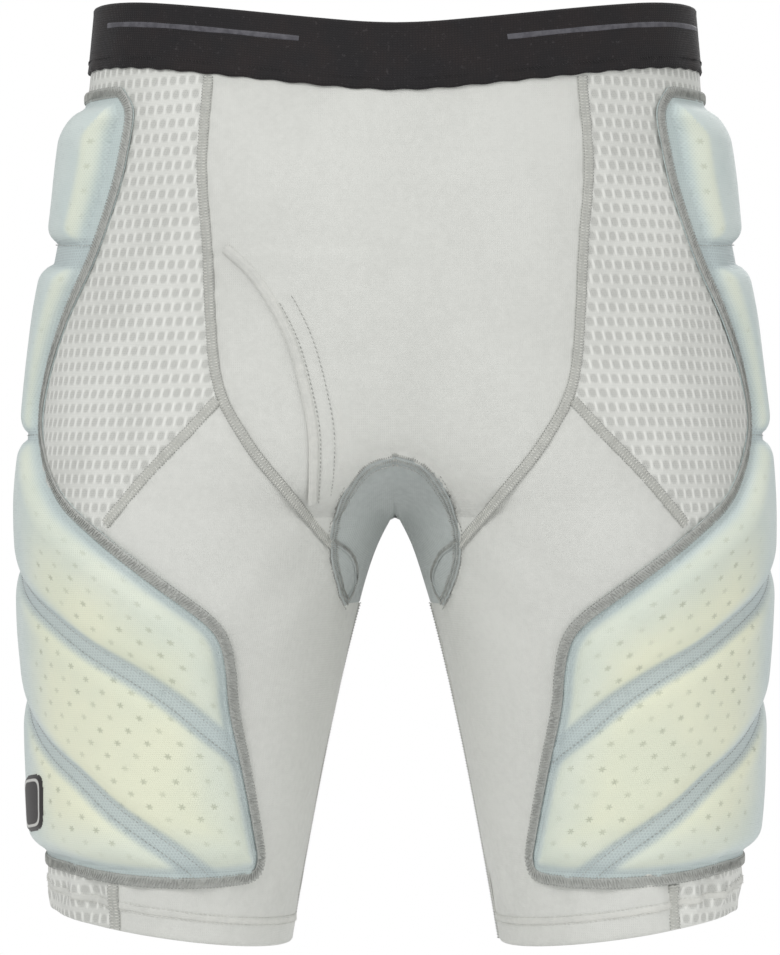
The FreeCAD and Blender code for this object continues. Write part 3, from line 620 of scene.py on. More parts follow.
def coverMaterial(name):
    # thin spacer mesh over yellow foam; the foam shows through where it is tight, and its drilled flowers and
    # the mesh's fine holes are darkened as painted shade in the holes
    cloth = ClothTree(name, 0.55, sheen=0.25, sheenRough=0.4)
    holeX, holeY = cloth.lattice(0.0011, 0.0011)
    fineHoles = cloth.blob(holeX, holeY, 0.27, 0.27, 0.35)
    netX, netY = cloth.lattice(0.0017, 0.00155)
    net = cloth.blob(netX, netY, 0.33, 0.33, 0.3)
    drillX, drillY = cloth.lattice(0.0150, 0.0068)
    sizedX = cloth.times(drillX, 0.0150)
    sizedY = cloth.times(drillY, 0.0068)
    reach = cloth.maths("SQRT", cloth.maths("ADD", cloth.times(sizedX, sizedX), cloth.times(sizedY, sizedY)))
    turn = cloth.maths("ARCTAN2", sizedY, sizedX)
    petals = cloth.times(cloth.maths("COSINE", cloth.times(turn, 6.0)), 0.00050)
    flower = cloth.ramp(cloth.maths("SUBTRACT", reach, petals), 0.0006, 0.0019, 1.0, 0.0)
    faded = cloth.ramp(cloth.noise(60, 2, 0.6), 0.35, 0.62, 0.35, 1.0)
    flower = cloth.times(flower, faded)
    showing = cloth.attribute("foamShow")
    groove = cloth.attribute("grooveShade")
    cloud = cloth.noise(18, 3, 0.6)
    base = cloth.mix(cloth.ramp(cloud, 0.3, 0.72), clothColours["cover"], linear(206, 219, 217))
    yellow = cloth.mix(cloth.ramp(cloud, 0.35, 0.7), clothColours["foamShow"], linear(231, 235, 212))
    tone = cloth.mix(showing, base, yellow)
    # painted shade in the foam's drilled flowers, where the foam shows
    drilled = cloth.times(cloth.times(flower, cloth.ramp(showing, 0.3, 0.75)), 0.66)
    tone = cloth.mix(drilled, tone, clothColours["drillHoleShade"])
    # painted shade in the sewn grooves; along the flat border and the foot of the foam it is partly the bare
    # cover's own bluish tone, partly painted shade
    tone = cloth.mix(cloth.times(groove, 0.85), tone, clothColours["coverGrooveShade"])
    # the net's openings darkened, most in the grooves: partly the mesh's own open pattern, partly painted
    # shade
    tone = cloth.mix(cloth.times(net, cloth.ramp(groove, 0.0, 1.0, 0.03, 0.38)), tone,
                     clothColours["coverNetShade"])
    # painted shade: the mesh's fine holes darkened
    tone = cloth.mix(cloth.times(fineHoles, 0.13), tone, linear(150, 158, 150))
    cloth.colour(tone)
    threads = cloth.maths("SUBTRACT", 1.0, cloth.maths("MAXIMUM", fineHoles, cloth.times(net, groove)))
    normal = cloth.bump(threads, 0.0003, 0.45)
    return cloth.finishWith(cloth.bump(flower, -0.0006, 0.35, under=normal))


def bandMaterial(name):
    # woven elastic: close upright cords, crossed by fine picks, with a faint warm fleck
    cloth = ClothTree(name, 0.7, sheen=0.12, sheenRough=0.35)
    u, v = cloth.split(cloth.clothUv())
    cords = cloth.wave(u, 620)
    picks = cloth.wave(cloth.maths("ADD", v, cloth.times(cords, 0.0005)), 780)
    weave = cloth.times(cords, picks)
    fleck = cloth.noise(420, 2, 0.6)
    cloud = cloth.noise(40, 3, 0.6)
    tone = cloth.mix(cloth.ramp(cloud, 0.35, 0.68), clothColours["band"], clothColours["bandWarm"])
    tone = cloth.mix(cloth.ramp(weave, 0.05, 0.4, 0.55, 0.0), tone, clothColours["bandDeep"])
    tone = cloth.mix(cloth.ramp(fleck, 0.6, 0.78, 0.0, 0.3), tone, linear(84, 80, 82))
    cloth.colour(tone)
    return cloth.finishWith(cloth.bump(weave, 0.00035, 0.6))


def threadMaterial(name, light, deep):
    # spun polyester thread: twisted plies with darker gaps
    cloth = ClothTree(name, 0.5, sheen=0.1)
    grain = cloth.noise(1500, 2, 0.6)
    patch = cloth.noise(220, 2, 0.6)
    tone = cloth.mix(cloth.ramp(patch, 0.36, 0.64), light, deep)
    tone = cloth.mix(cloth.ramp(grain, 0.42, 0.7, 0.0, 0.4), tone, deep)
    cloth.colour(tone)
    return cloth.finishWith(cloth.bump(grain, 0.00015, 0.5))


def foamMaterial(name):
    cloth = ClothTree(name, 0.85)
    cells = cloth.noise(900, 3, 0.7)
    cloth.colour(cloth.mix(cloth.ramp(cells, 0.35, 0.65), clothColours["foam"], linear(216, 218, 168)))
    return cloth.finishWith(cloth.bump(cells, 0.0004, 0.5))


def badgeMaterial(name):
    # moulded rubber: dark field, light raised line just inside the edge
    cloth = ClothTree(name, 0.42)
    x, y = cloth.split(cloth.clothUv())
    a = cloth.maths("POWER", cloth.maths("ABSOLUTE", x), 5.0)
    b = cloth.maths("POWER", cloth.maths("ABSOLUTE", y), 5.0)
    reach = cloth.maths("POWER", cloth.maths("ADD", a, b), 0.2)
    line = cloth.times(cloth.ramp(reach, 0.74, 0.77), cloth.ramp(reach, 0.84, 0.87, 1.0, 0.0))
    grain = cloth.noise(900, 2, 0.5)
    cloth.colour(cloth.mix(line, clothColours["badge"], clothColours["badgeEdge"]))
    normal = cloth.bump(line, 0.0004, 0.8)
    return cloth.finishWith(cloth.bump(grain, 0.0002, 0.25, under=normal))


materials = {
    "knit": jerseyMaterial("stretchKnit", clothColours["knit"], clothColours["knitDeep"]),
    "seamCloth": jerseyMaterial("seamCloth", linear(200, 201, 195), linear(186, 187, 182), 1100, 1000),
    "gusset": jerseyMaterial("gussetKnit", clothColours["gusset"], linear(172, 178, 177)),
    "lining": jerseyMaterial("liningMesh", clothColours["lining"], linear(196, 197, 193), 500, 420),
    "edgeCloth": jerseyMaterial("edgeCloth", linear(194, 196, 192), linear(176, 178, 174), 1100, 1000),
    "binding": jerseyMaterial("bindingKnit", linear(224, 224, 218), linear(206, 207, 202), 1100, 1000),
    "bubble": bubbleMeshMaterial("bubbleMesh"), "cover": coverMaterial("coverMesh"),
    "band": bandMaterial("bandElastic"), "stripe": threadMaterial("bandStripe", clothColours["stripe"],
                                                                  linear(74, 73, 79)),
    "thread": threadMaterial("paleThread", clothColours["thread"], linear(206, 206, 200)),
    "threadGrey": threadMaterial("greyThread", clothColours["threadGrey"], linear(152, 153, 149)),
    # dark dots: painted shade in the seams' needle holes
    "needleHoleShade": threadMaterial("needleHoleShadeDots", linear(138, 139, 135), linear(112, 113, 110)),
    "threadBlack": threadMaterial("darkThread", linear(40, 38, 39), linear(22, 21, 22)),
    "foam": foamMaterial("yellowFoam"), "badge": badgeMaterial("badgeRubber"),
}
print("materials ready", len(materials))

# rim and fabric layers shared by the panels
fabric = {"thickness": 0.0008, "slowWave": 0.0005, "hemCrease": 0.0030, "seamPull": 0.0007, "pucker": 0.00025,
          "seamReach": 0.006, "creaseZ": -0.468, "creaseReach": 0.011, "crotchFold": 0.0006,
           "foldPitch": 0.034}
diagonalPath = smoothRoute(diagonalRoute, 0.002)
hemSeamX = 0.152


def diagonalX(z):
    return np.interp(-np.asarray(z), np.concatenate([-diagonalPath[:, 1], [0.33, 0.55]]),
                     np.concatenate([diagonalPath[:, 0], [hemSeamX, hemSeamX]]))


gussetPath = smoothRoute(gussetRoute, 0.001)
gussetFootZ = -0.3115


def insideGusset(x, z):
    # below the arch and above the gusset's two rounded ends
    archX = routeX(gussetPath, z)
    return (z < gussetPath[0, 1]) & (z > gussetFootZ) & (x < archX)


def regionOf(x, z):
    # 0 centre panel, 1 mesh side, 2 thigh, 3 gusset
    seamX = routeX(frontSeamPath, z)
    centre = (x < seamX) & (z > -0.278)
    side = ~centre & (x > diagonalX(z)) & ((z < diagonalRoute[0][1]) | (x > seamX))
    return np.where(insideGusset(x, z), 3, np.where(centre, 0, np.where(side, 1, 2)))


def routeOnForm(route, spacing, back, out):
    path = smoothRoute(route, spacing)
    return formAt(path[:, 0], path[:, 1], np.full(len(path), back), out)


# where stitching gathers the cloth: all seam lines, as points for a distance lookup
def nearLookup(points):
    tree = KDTree(len(points))
    for i, point in enumerate(points):
        tree.insert(point, i)
    tree.balance()
    return tree


def distanceTo(tree, points):
    return np.array([tree.find(p)[2] for p in points])


def seamLookup(spacing):
    return nearLookup(np.concatenate([routeOnForm(route, spacing, back, 0)[0]
                                      for route in (frontSeamRoute, diagonalRoute, gussetRoute)
                                      for back in (False, True)]))


seamTree = seamLookup(0.003)
edgeTree = seamLookup(0.0006)


def snapEdge(piece, tree, reach=1.0, fromX=-1.0):
    # cut edges follow a line instead of the grid's steps; corners nearer the centre than fromX stay
    def snap(mesh):
        for corner in mesh.verts:
            if corner.is_boundary and corner.co.x > fromX:
                spot, _, gap = tree.find(corner.co)
                if gap < reach:
                    corner.co = spot
    editMesh(piece, snap)


def clothShape(points, normals, side):
    # gentle undulation, a dip beside every seam, puckers near it and gathers above the hem
    z = points[:, 2]
    nearSeam = distanceTo(seamTree, points)
    gather = smoothStep(0.030, 0.003, nearSeam)
    height = fabric["slowWave"] * waviness("slow", points, side) * (1 - 0.6 * gather)
    height += fabric["pucker"] * waviness("pucker", points, side) * gather
    height -= fabric["seamPull"] * np.exp(-(nearSeam / fabric["seamReach"]) ** 2)
    outerShare = smoothStep(0.09, 0.17, points[:, 0])
    aboveHem = np.exp(-((z - fabric["creaseZ"]) / fabric["creaseReach"]) ** 2)
    crease = waviness("crease", points * np.array([1.0, 1.0, 0.45]), side)
    height += fabric["hemCrease"] * aboveHem * (0.35 + 0.65 * outerShare) * crease
    crotch = np.exp(-((points[:, 0] - 0.05) / 0.05) ** 2 - ((z + 0.30) / 0.035) ** 2)
    fold = np.sin((points[:, 0] * 0.8 + z * 0.62) * 2 * math.pi / fabric["foldPitch"] + side)
    height += fabric["crotchFold"] * crotch * fold
    return points + normals * height[:, None]


def masterPanel(name, side, region, extra=None, zero=clothGrid["columns"] // 2):
    # one region of one half, cut out of the same even grid so that neighbours meet
    piece, u, v = addGrid(name, clothGrid["columns"], clothGrid["rows"])
    z = gridHeights(u, v)
    points, _ = ringPoint(u, z, 0.0)
    onCentre = (np.minimum(u, 1 - u) < 1e-6) & (points[:, 0] < 0.0012)
    points = easeCrotch(points, clothGrid["columns"])
    normals = formNormals(points, clothGrid["columns"])
    back = np.cos(ringAngle(u, z)) < 0
    across = arcLengths(points, clothGrid["columns"], zero)
    shaped = clothShape(points, normals, sides[side])
    shaped[onCentre, 0] = 0
    if extra is not None:
        shaped = shaped + normals * extra(points, back)[:, None]
        shaped[onCentre, 0] = 0
    setPoints(piece, shaped)
    setUv(piece, across, points[:, 2])
    middle = faceMiddles(piece, np.stack([points[:, 0], points[:, 2], back.astype(float)], -1))
    keepFaces(piece, region(regionOf(middle[:, 0], middle[:, 1]), middle[:, 2] > 0.5))
    snapEdge(piece, edgeTree, clothGrid["snap"], 0.0005)
    return piece


def easeCrotch(points, columns):
    # rounds the step where the two legs meet the body, and keeps both ends of each leg row together
    rows = points.reshape(-1, columns, 3).copy()
    weight = np.exp(-((rows[:, :, 2:3] + bodyForm["rise"]) / crotchRows["smoothReach"]) ** 2)[1:-1]
    together = np.abs(rows[:, 0] - rows[:, -1]).max(axis=1) < 1e-6
    for _ in range(crotchRows["smooth"]):
        mean = (rows[:-2] + rows[2:]) / 2
        rows[1:-1] += 0.5 * weight * (mean - rows[1:-1])
        ends = (rows[together, 0] + rows[together, -1]) / 2
        rows[together, 0] = ends
        rows[together, -1] = ends
    return rows.reshape(-1, 3)


def formNormals(points, columns):
    # outward normals of a half grid from its own neighbours
    rows = points.reshape(-1, columns, 3)
    across = np.gradient(rows, axis=1)
    along = np.gradient(rows, axis=0)
    normals = np.cross(across, along).reshape(-1, 3)
    length = np.linalg.norm(normals, axis=1)[:, None]
    flat = points.reshape(-1, 3)
    _, fallback = formAt(np.maximum(flat[:, 0], 1e-4), flat[:, 2], flat[:, 1] > seatLine, 0.0)
    normals = np.where(length > 1e-9, normals / np.maximum(length, 1e-9), fallback)
    outward = (normals * fallback).sum(-1)
    return np.where((outward < 0)[:, None], -normals, normals)


def pointOutwards(piece):
    # turns the cloth so that its faces look away from the leg or body
    facing = 0.0
    for face in piece.data.polygons:
        axis = Vector((math.copysign(0.1, face.center.x), seatLine, face.center.z))
        facing += (face.center - axis).dot(face.normal) * face.area
    if facing < 0:
        piece.data.flip_normals()


def meshArea(piece):
    return sum(p.area for p in piece.data.polygons)


sheetSizes = {}
leastShare = 0.302      # a cut piece covers at least this much of its rectangle


def declareCloth(piece, flatArea):
    # cut size: a rectangle round the developed panel, with the panel's own area
    layer = piece.data.uv_layers[0].data
    uv = np.zeros(len(layer) * 2)
    layer.foreach_get("uv", uv)
    uv = uv.reshape(-1, 2)
    width, length = (float(size) for size in uv.max(0) - uv.min(0))
    area = float(min(max(flatArea, leastShare * width * length), width * length))
    sheetSizes[piece.name] = (round(width, 3), round(length, 3), round(area, 4))


def clothPiece(piece, material, node, side=None, thickness=fabric["thickness"]):
    # gives a flat sheet its thickness and finish, and says what size it was cut to
    pointOutwards(piece)
    flatArea = meshArea(piece)
    thicken(piece, thickness)
    smoothShade(piece)
    finishPiece(piece, materials[material], [node], side)
    declareCloth(piece, flatArea)


def clothPanel(name, side, region, material, node):
    piece = masterPanel(name, side, region)
    mirrorRight(piece, side)
    clothPiece(piece, material, node, side)


# centre panels, each across the middle of the body
flyStep = {"over": 0.0007, "under": -0.0004, "blend": 0.0012}
flyPath = smoothRoute(flyRoute, 0.002)


def flyLift(points, back):
    # the front's inner part laps over the fly's lower layer along the curved fold, on the wearer's right
    x, z = points[:, 0], points[:, 2]
    foldX = routeX(flyPath, z)
    within = smoothStep(-0.117, -0.123, z) * smoothStep(-0.262, -0.254, z) * (~back)
    step = smoothStep(foldX - flyStep["blend"], foldX + flyStep["blend"], x)
    fromCentre = smoothStep(0.0, 0.016, x)
    return within * (flyStep["over"] * (1 - step) * fromCentre + flyStep["under"] * step)


def halfOf(name, side, *shape):
    # one half of a piece that crosses the middle
    half = masterPanel(name + side, side, *shape)
    mirrorRight(half, side)
    for loop in half.data.uv_layers[0].data:
        loop.uv.x *= sides[side]
    pointOutwards(half)
    return half


def weldedHalves(name, halves):
    piece = joinPieces(name, halves)
    weld(piece, 0.0003)
    return piece


def centrePanel(name, back, node):
    def inPanel(kind, isBack):
        return (kind == 0) & (isBack == back)

    halves = []
    for side in sides:
        lift = flyLift if side == "right" and not back else None
        halves.append(halfOf(name, side, inPanel, lift, -1 if back else 0))
    clothPiece(weldedHalves(name, halves), "knit", node)


centrePanel("frontPanel", False, "front_panel")
centrePanel("backPanel", True, "back_panel")
print("centre panels done")

for side in sides:
    clothPanel(side + "SideMesh", side, lambda kind, isBack: kind == 1, "bubble",
               side + "_side_mesh")
    clothPanel(side + "ThighFront", side, lambda kind, isBack: (kind == 2) & ~isBack, "knit",
               side + "_thigh_front")
    clothPanel(side + "ThighBack", side, lambda kind, isBack: (kind == 2) & isBack, "knit",
               side + "_thigh_back")
print("side and thigh panels done")

# gusset, two small shells that meet on the centre line under the crotch
def gussetPiece():
    halves = []
    for side in sides:
        half = halfOf("gusset", side, lambda kind, isBack: kind == 3,
                      lambda points, back: np.full(len(points), 0.0004))
        # laid flat: the legs' inner faces fold out sideways, the arches fold out to the front and the back
        spots = np.array([corner.co[:] for corner in half.data.vertices])
        drop = np.clip(-bodyForm["rise"] - spots[:, 2], 0, None)
        climb = np.clip(bodyForm["rise"] + spots[:, 2], 0, None)
        setUv(half, np.hypot(spots[:, 0], drop) * sides[side],
              spots[:, 1] + np.where(spots[:, 1] > seatLine, climb, -climb))
        halves.append(half)
    clothPiece(weldedHalves("gussetCloth", halves), "gusset", "gusset")


gussetPiece()
print("gusset done")

# pads: one quilted cover a side, over foam blocks set apart by sewn grooves
padForm = {
    "frontEdge": [(0.148, -0.029), (0.142, -0.042), (0.1455, -0.066), (0.151, -0.088), (0.1635, -0.122),
                  (0.180, -0.156), (0.191, -0.188), (0.194, -0.216), (0.182, -0.248), (0.160, -0.269),
                  (0.130, -0.292), (0.100, -0.3145), (0.090, -0.328), (0.0865, -0.345), (0.085, -0.366),
                  (0.079, -0.400), (0.0735, -0.437), (0.0725, -0.450), (0.0765, -0.460), (0.090, -0.4625),
                  (0.115, -0.463), (0.150, -0.461), (0.180, -0.457)],
    "backY": 0.054, "topZ": -0.028, "footZ": -0.455,
    "skin": 0.0011, "tall": 0.0092, "crown": 0.0012, "shoulder": 0.0125, "grooveWall": 0.0105,
    "hipFlange": 0.0150, "lowFlange": 0.0085, "thighFlange": 0.0085,
    "columns": 170, "rows": 236, "cover": 0.0007, "ripple": 0.00035,
}
# sewn grooves: front view points, then (degrees round from the front, height), and half the flat's width
grooves = {
    "hipSplit": {"front": [(0.158, -0.119), (0.172, -0.119)],
                 "round": [(84, -0.1165), (105, -0.115), (130, -0.114)], "half": 0.0062, "depth": 0.72},
    "hipFoot": {"front": [], "round": [(60, -0.2175), (84, -0.2185), (105, -0.219), (130, -0.219)],
                "half": 0.0022, "depth": 0.5},
    "thighUpper": {"front": [(0.078, -0.398), (0.098, -0.381), (0.120, -0.361), (0.140, -0.347),
                             (0.160, -0.335), (0.182, -0.318)],
                   "round": [(76, -0.300), (96, -0.283), (115, -0.270), (135, -0.256)],
                   "half": 0.0046, "depth": 0.42},
    "thighLower": {"front": [(0.096, -0.466), (0.120, -0.4435), (0.148, -0.422), (0.166, -0.405),
                             (0.182, -0.391)],
                   "round": [(78, -0.371), (98, -0.354), (117, -0.340), (136, -0.326)],
                   "half": 0.0046, "depth": 0.42},
}


def frontAngle(x, z):
    centre, _, half, _, _, _ = section(z)
    return np.arcsin(np.clip((np.asarray(x) - centre) / half, -1, 1))


def backAngle(z):
    _, shift, _, depth, _, _ = section(z)
    return np.arccos(np.clip(-(padForm["backY"] - shift) / depth, -1, 1))


def padOutline():
    # the pad's edge as (angle, height), anticlockwise seen from the outer side
    front = smoothRoute(padForm["frontEdge"], 0.002)
    angles = frontAngle(front[:, 0], front[:, 1])
    heights = np.linspace(padForm["footZ"], padForm["topZ"], 120)
    backs = backAngle(heights)
    corner = 0.10 * (np.clip(1 - (heights - padForm["footZ"]) / 0.02, 0, 1) ** 2
                     + np.clip(1 - (padForm["topZ"] - heights) / 0.02, 0, 1) ** 2)
    foot = np.linspace(angles[-1], backs[0] - corner[0], 60)[1:-1]
    top = np.linspace(backs[-1] - corner[-1], angles[0], 60)[1:-1]
    footHeights = np.interp(np.linspace(0, 1, 58), [0, 1], [front[-1, 1], padForm["footZ"]])
    return (np.concatenate([angles, foot, backs - corner, top]),
            np.concatenate([front[:, 1], footHeights, heights, np.full(58, padForm["topZ"])]))


def insideOutline(angle, z, outlineAngle, outlineZ):
    inside = np.zeros(len(angle), bool)
    count = len(outlineAngle)
    for i in range(count):
        j = (i + 1) % count
        crosses = (outlineZ[i] > z) != (outlineZ[j] > z)
        if not crosses.any():
            continue
        at = outlineAngle[i] + (z - outlineZ[i]) / (outlineZ[j] - outlineZ[i] + 1e-12) * (
            outlineAngle[j] - outlineAngle[i])
        inside ^= crosses & (angle < at)
    return inside


outlineAngle, outlineZ = padOutline()
outlinePoints, outlineNormals = anglePoint(outlineAngle, outlineZ, 0.0)
outlineTree = nearLookup(outlinePoints)


def insidePad(spots):
    return insideOutline(spots[:, 0], spots[:, 1], outlineAngle, outlineZ)


def groovePath(spec, spacing=0.002):
    front = np.array(spec["front"], float).reshape(-1, 2)
    angles = list(frontAngle(front[:, 0], front[:, 1]))
    heights = list(front[:, 1])
    angles += [math.radians(a) for a, z in spec["round"]]
    heights += [z for a, z in spec["round"]]
    bodyRadius = 0.15       # turns an angle into a length, so that both directions count alike
    path = smoothRoute(np.stack([np.array(angles) * bodyRadius, heights], -1), spacing)
    return path[:, 0] / bodyRadius, path[:, 1]


groovePaths, grooveTrees = {}, {}
for label, spec in grooves.items():
    angle, z = groovePath(spec)
    within = insidePad(np.stack([angle, z], -1))
    groovePaths[label] = (angle[within], z[within])
    grooveTrees[label] = nearLookup(anglePoint(angle, z, 0.0)[0])


def roundedWall(distance, run):
    # rises steeply from the seam and rolls over on top, like foam under tight cloth
    t = np.clip(distance / run, 0, 1)
    return (1 - (1 - t) ** 2.3) ** 0.72


def padHeights(points, angle, z, side):
    fromEdge = distanceTo(outlineTree, points)
    levels = (-0.26, "thighFlange"), (-0.225, "lowFlange"), (-0.135, "lowFlange"), (-0.105, "hipFlange")
    flange = np.interp(z, [level for level, _ in levels], [padForm[width] for _, width in levels])
    narrowing = np.maximum(smoothStep(1.6, 1.95, angle), smoothStep(-0.056, -0.034, z))
    flange = flange + (padForm["thighFlange"] - flange) * narrowing
    wall = roundedWall(fromEdge - flange, padForm["shoulder"])
    shade = np.zeros(len(z))
    grooveGap = np.full(len(z), 9.0)
    for label, spec in grooves.items():
        away = distanceTo(grooveTrees[label], points)
        sunk = roundedWall(away - spec["half"], padForm["grooveWall"])
        wall = wall * (1 - spec["depth"] * (1 - sunk))
        shade = np.maximum(shade, smoothStep(spec["half"] + 0.0035, spec["half"] - 0.0005, away))
        grooveGap = np.minimum(grooveGap, away - spec["half"])
    tall = padForm["tall"] + 0.003 * smoothStep(-0.115, -0.05, z)
    tall = tall - 0.0015 * smoothStep(-0.44, -0.462, z)
    crown = padForm["crown"] * (1 - np.exp(-np.clip(np.minimum(fromEdge - flange, grooveGap), 0, 1) / 0.018))
    height = wall * (tall + crown)
    flat = 1 - np.clip(wall * 2.5, 0, 1)
    height += padForm["ripple"] * flat * waviness("pucker", points, side)
    height += padForm["ripple"] * wall * waviness("slow", points, side)
    return padForm["skin"] + np.clip(height, 0, None), wall, shade, fromEdge


def padGrid(name, columns, rows):
    piece, u, v = addGrid(name, columns, rows)
    z = -0.468 + 0.444 * v
    start = np.interp(z, [-0.468, -0.44, -0.40, -0.345, -0.31, -0.285, -0.24, -0.15, -0.02],
                      [-58, -55, -46, -28, -15, 0, 38, 48, 46])
    angle = np.radians(start + (142 - start) * u)
    return piece, angle, z


def coverPiece(side):
    name = side + "PadCover"
    piece, angle, z = padGrid(name, padForm["columns"], padForm["rows"])
    base, normals = anglePoint(angle, z, 0.0)
    height, wall, shade, fromEdge = padHeights(base, angle, z, sides[side])
    points = base + normals * height[:, None]
    setPoints(piece, points)
    setUv(piece, arcLengths(base, padForm["columns"], padForm["columns"] // 2), z)
    facing = np.abs(formNormals(points, padForm["columns"])[:, 1])
    tight = smoothStep(0.15, 0.75, wall)
    onHip = smoothStep(-0.235, -0.20, z)
    showing = tight * smoothStep(0.26 + 0.24 * onHip, 0.66 + 0.20 * onHip, facing) * 0.95
    blockFade = smoothStep(0.016, 0.040, fromEdge) * 0.45 + 0.55
    setShade(piece, "foamShow", np.clip(showing * blockFade, 0, 1))
    # grooveShade: painted shade in the sewn grooves; near the pad's edge partly the bare cover's own bluish
    # tone, partly painted shade at the foot of the foam
    setShade(piece, "grooveShade", np.clip(shade + 0.55 * (1 - smoothStep(0.0, 0.5, wall)), 0, 1))
    keepFaces(piece, insidePad(faceMiddles(piece, np.stack([angle, z], -1))))
    snapEdge(piece, nearLookup(outlinePoints + outlineNormals * padForm["skin"]))
    mirrorRight(piece, side)
    pointOutwards(piece)
    thicken(piece, padForm["cover"])
    smoothShade(piece, 70)
    finishPiece(piece, materials["cover"], [side + "_hip_cover", side + "_thigh_cover"], side)


foamBlocks = ["hip_foam_upper", "hip_foam_lower", "thigh_foam_upper", "thigh_foam_middle", "thigh_foam_lower"]
foamForm = {"columns": 64, "rows": 92, "under": 0.0021, "lift": 0.0005, "thinnest": 0.0004}


def blockIndex(angle, z):
    # which foam block a spot belongs to, counted from the top
    def heightOf(label):
        pathAngle, pathZ = groovePaths[label]
        order = np.argsort(pathAngle)
        return np.interp(angle, pathAngle[order], pathZ[order])
    return ((z < heightOf("hipSplit")).astype(int) + (z < heightOf("hipFoot"))
            + (z < heightOf("thighUpper")) + (z < heightOf("thighLower")))


def foamPiece(side, index, node):
    piece, angle, z = padGrid(side + "Foam" + str(index), foamForm["columns"], foamForm["rows"])
    base, normals = anglePoint(angle, z, 0.0)
    height, wall, shade, fromEdge = padHeights(base, angle, z, sides[side])
    top = np.maximum(height - foamForm["under"], foamForm["lift"] + foamForm["thinnest"])
    setPoints(piece, base + normals * top[:, None])
    middle = faceMiddles(piece, np.stack([angle, z, wall], -1))
    inBlock = blockIndex(middle[:, 0], middle[:, 1]) == index
    keepFaces(piece, insidePad(middle) & (middle[:, 2] > 0.55) & inBlock)
    pointOutwards(piece)
    nearest = nearLookup(base)

    def addUnderside(mesh):
        result = bmesh.ops.extrude_face_region(mesh, geom=list(mesh.faces), use_keep_orig=True)
        for corner in [part for part in result["geom"] if isinstance(part, bmesh.types.BMVert)]:
            _, spot, _ = nearest.find(corner.co)
            corner.co = Vector(base[spot] + normals[spot] * foamForm["lift"])
        bmesh.ops.recalc_face_normals(mesh, faces=mesh.faces)

    editMesh(piece, addUnderside)
    mirrorRight(piece, side)
    smoothShade(piece, 50)
    finishPiece(piece, materials["foam"], [side + "_" + node], side)


def liningPiece(side, label, top, bottom):
    # light knit behind the pad, seen through the waist
    columns, rows, depthIn = 60, 84, 0.0016
    piece, angle, z = padGrid(side + "Lining" + label, columns, rows)
    base, _ = anglePoint(angle, z, -depthIn)
    setPoints(piece, base)
    setUv(piece, arcLengths(base, columns, columns // 2), z)
    middle = faceMiddles(piece, np.stack([angle, z], -1))
    keepFaces(piece, insidePad(middle) & (middle[:, 1] < top) & (middle[:, 1] > bottom))
    mirrorRight(piece, side)
    node = side + "_" + label.lower() + "_lining"
    clothPiece(piece, "lining", node, side, 0.0006)


for side in sides:
    coverPiece(side)
    for index, node in enumerate(foamBlocks):
        foamPiece(side, index, node)
    liningPiece(side, "Hip", 0, -0.2185)
    liningPiece(side, "Thigh", -0.2185, -1)
print("pads done")

# seam ribbons and stitches
def frameAlong(points, normals):
    # unit directions along a route and across it
    along = np.gradient(points, axis=0)
    along /= np.maximum(np.linalg.norm(along, axis=1), 1e-9)[:, None]
    across = np.cross(along, normals)
    across /= np.maximum(np.linalg.norm(across, axis=1), 1e-9)[:, None]
    return along, across


def seamRibbon(name, points, normals, width, height, lift=0.0, columns=7):
    # a low arched strip of folded cloth along a route, closed underneath
    piece, u, v = addGrid(name, columns, len(points))
    along, across = frameAlong(points, normals)
    row = np.clip(np.rint(v * (len(points) - 1)).astype(int), 0, len(points) - 1)
    s = u * 2 - 1
    arch = height * np.sqrt(np.clip(1 - s * s, 0, 1)) * (1 - 0.22 * np.exp(-(s / 0.18) ** 2))
    setPoints(piece, points[row] + across[row] * (s * width / 2)[:, None]
              + normals[row] * (arch + lift - 0.0002)[:, None])
    steps = np.concatenate([[0], np.cumsum(np.linalg.norm(np.diff(points, axis=0), axis=1))])
    setUv(piece, s * width / 2, steps[row])
    facing = [np.dot(normals[row[face.vertices[0]]], face.normal) for face in list(piece.data.polygons)[::7]]
    if sum(facing) < 0:
        piece.data.flip_normals()
    thicken(piece, 0.0004)
    smoothShade(piece)
    return piece


def stitchSeed():
    # one stitch: a small spindle, copied along every seam
    bpy.ops.object.select_all(action="DESELECT")
    bpy.ops.mesh.primitive_uv_sphere_add(segments=5, ring_count=4, radius=1)
    seed = bpy.context.object
    corners = np.array([c.co[:] for c in seed.data.vertices])
    faces = [list(p.vertices) for p in seed.data.polygons]
    bpy.data.objects.remove(seed, do_unlink=True)
    return corners, faces


seedCorners, seedFaces = stitchSeed()


def stitches(name, centres, along, normals, halfLength, halfWidth):
    # copies of the spindle, the long way on 'along'
    across = np.cross(along, normals)
    count = len(centres)
    spots = (centres[:, None] + seedCorners[None, :, 2:3] * (along * halfLength)[:, None]
             + seedCorners[None, :, 0:1] * (across * halfWidth)[:, None]
             + seedCorners[None, :, 1:2] * (normals * halfWidth)[:, None]).reshape(-1, 3)
    faces = [[c + k * len(seedCorners) for c in face] for k in range(count) for face in seedFaces]
    mesh = bpy.data.meshes.new(name)
    mesh.from_pydata(spots.tolist(), [], faces)
    piece = bpy.data.objects.new(name, mesh)
    bpy.context.collection.objects.link(piece)
    alignNormals(piece)
    for face in mesh.polygons:
        face.use_smooth = True
    return piece


def unit(values):
    return values / np.maximum(np.linalg.norm(values, axis=1), 1e-9)[:, None]


def resample(points, normals, spacing):
    steps = np.concatenate([[0], np.cumsum(np.linalg.norm(np.diff(points, axis=0), axis=1))])
    count = max(3, int(steps[-1] / spacing))
    even = np.linspace(0, steps[-1], count)
    spots = np.stack([np.interp(even, steps, points[:, k]) for k in range(3)], -1)
    facing = unit(np.stack([np.interp(even, steps, normals[:, k]) for k in range(3)], -1))
    return spots, facing


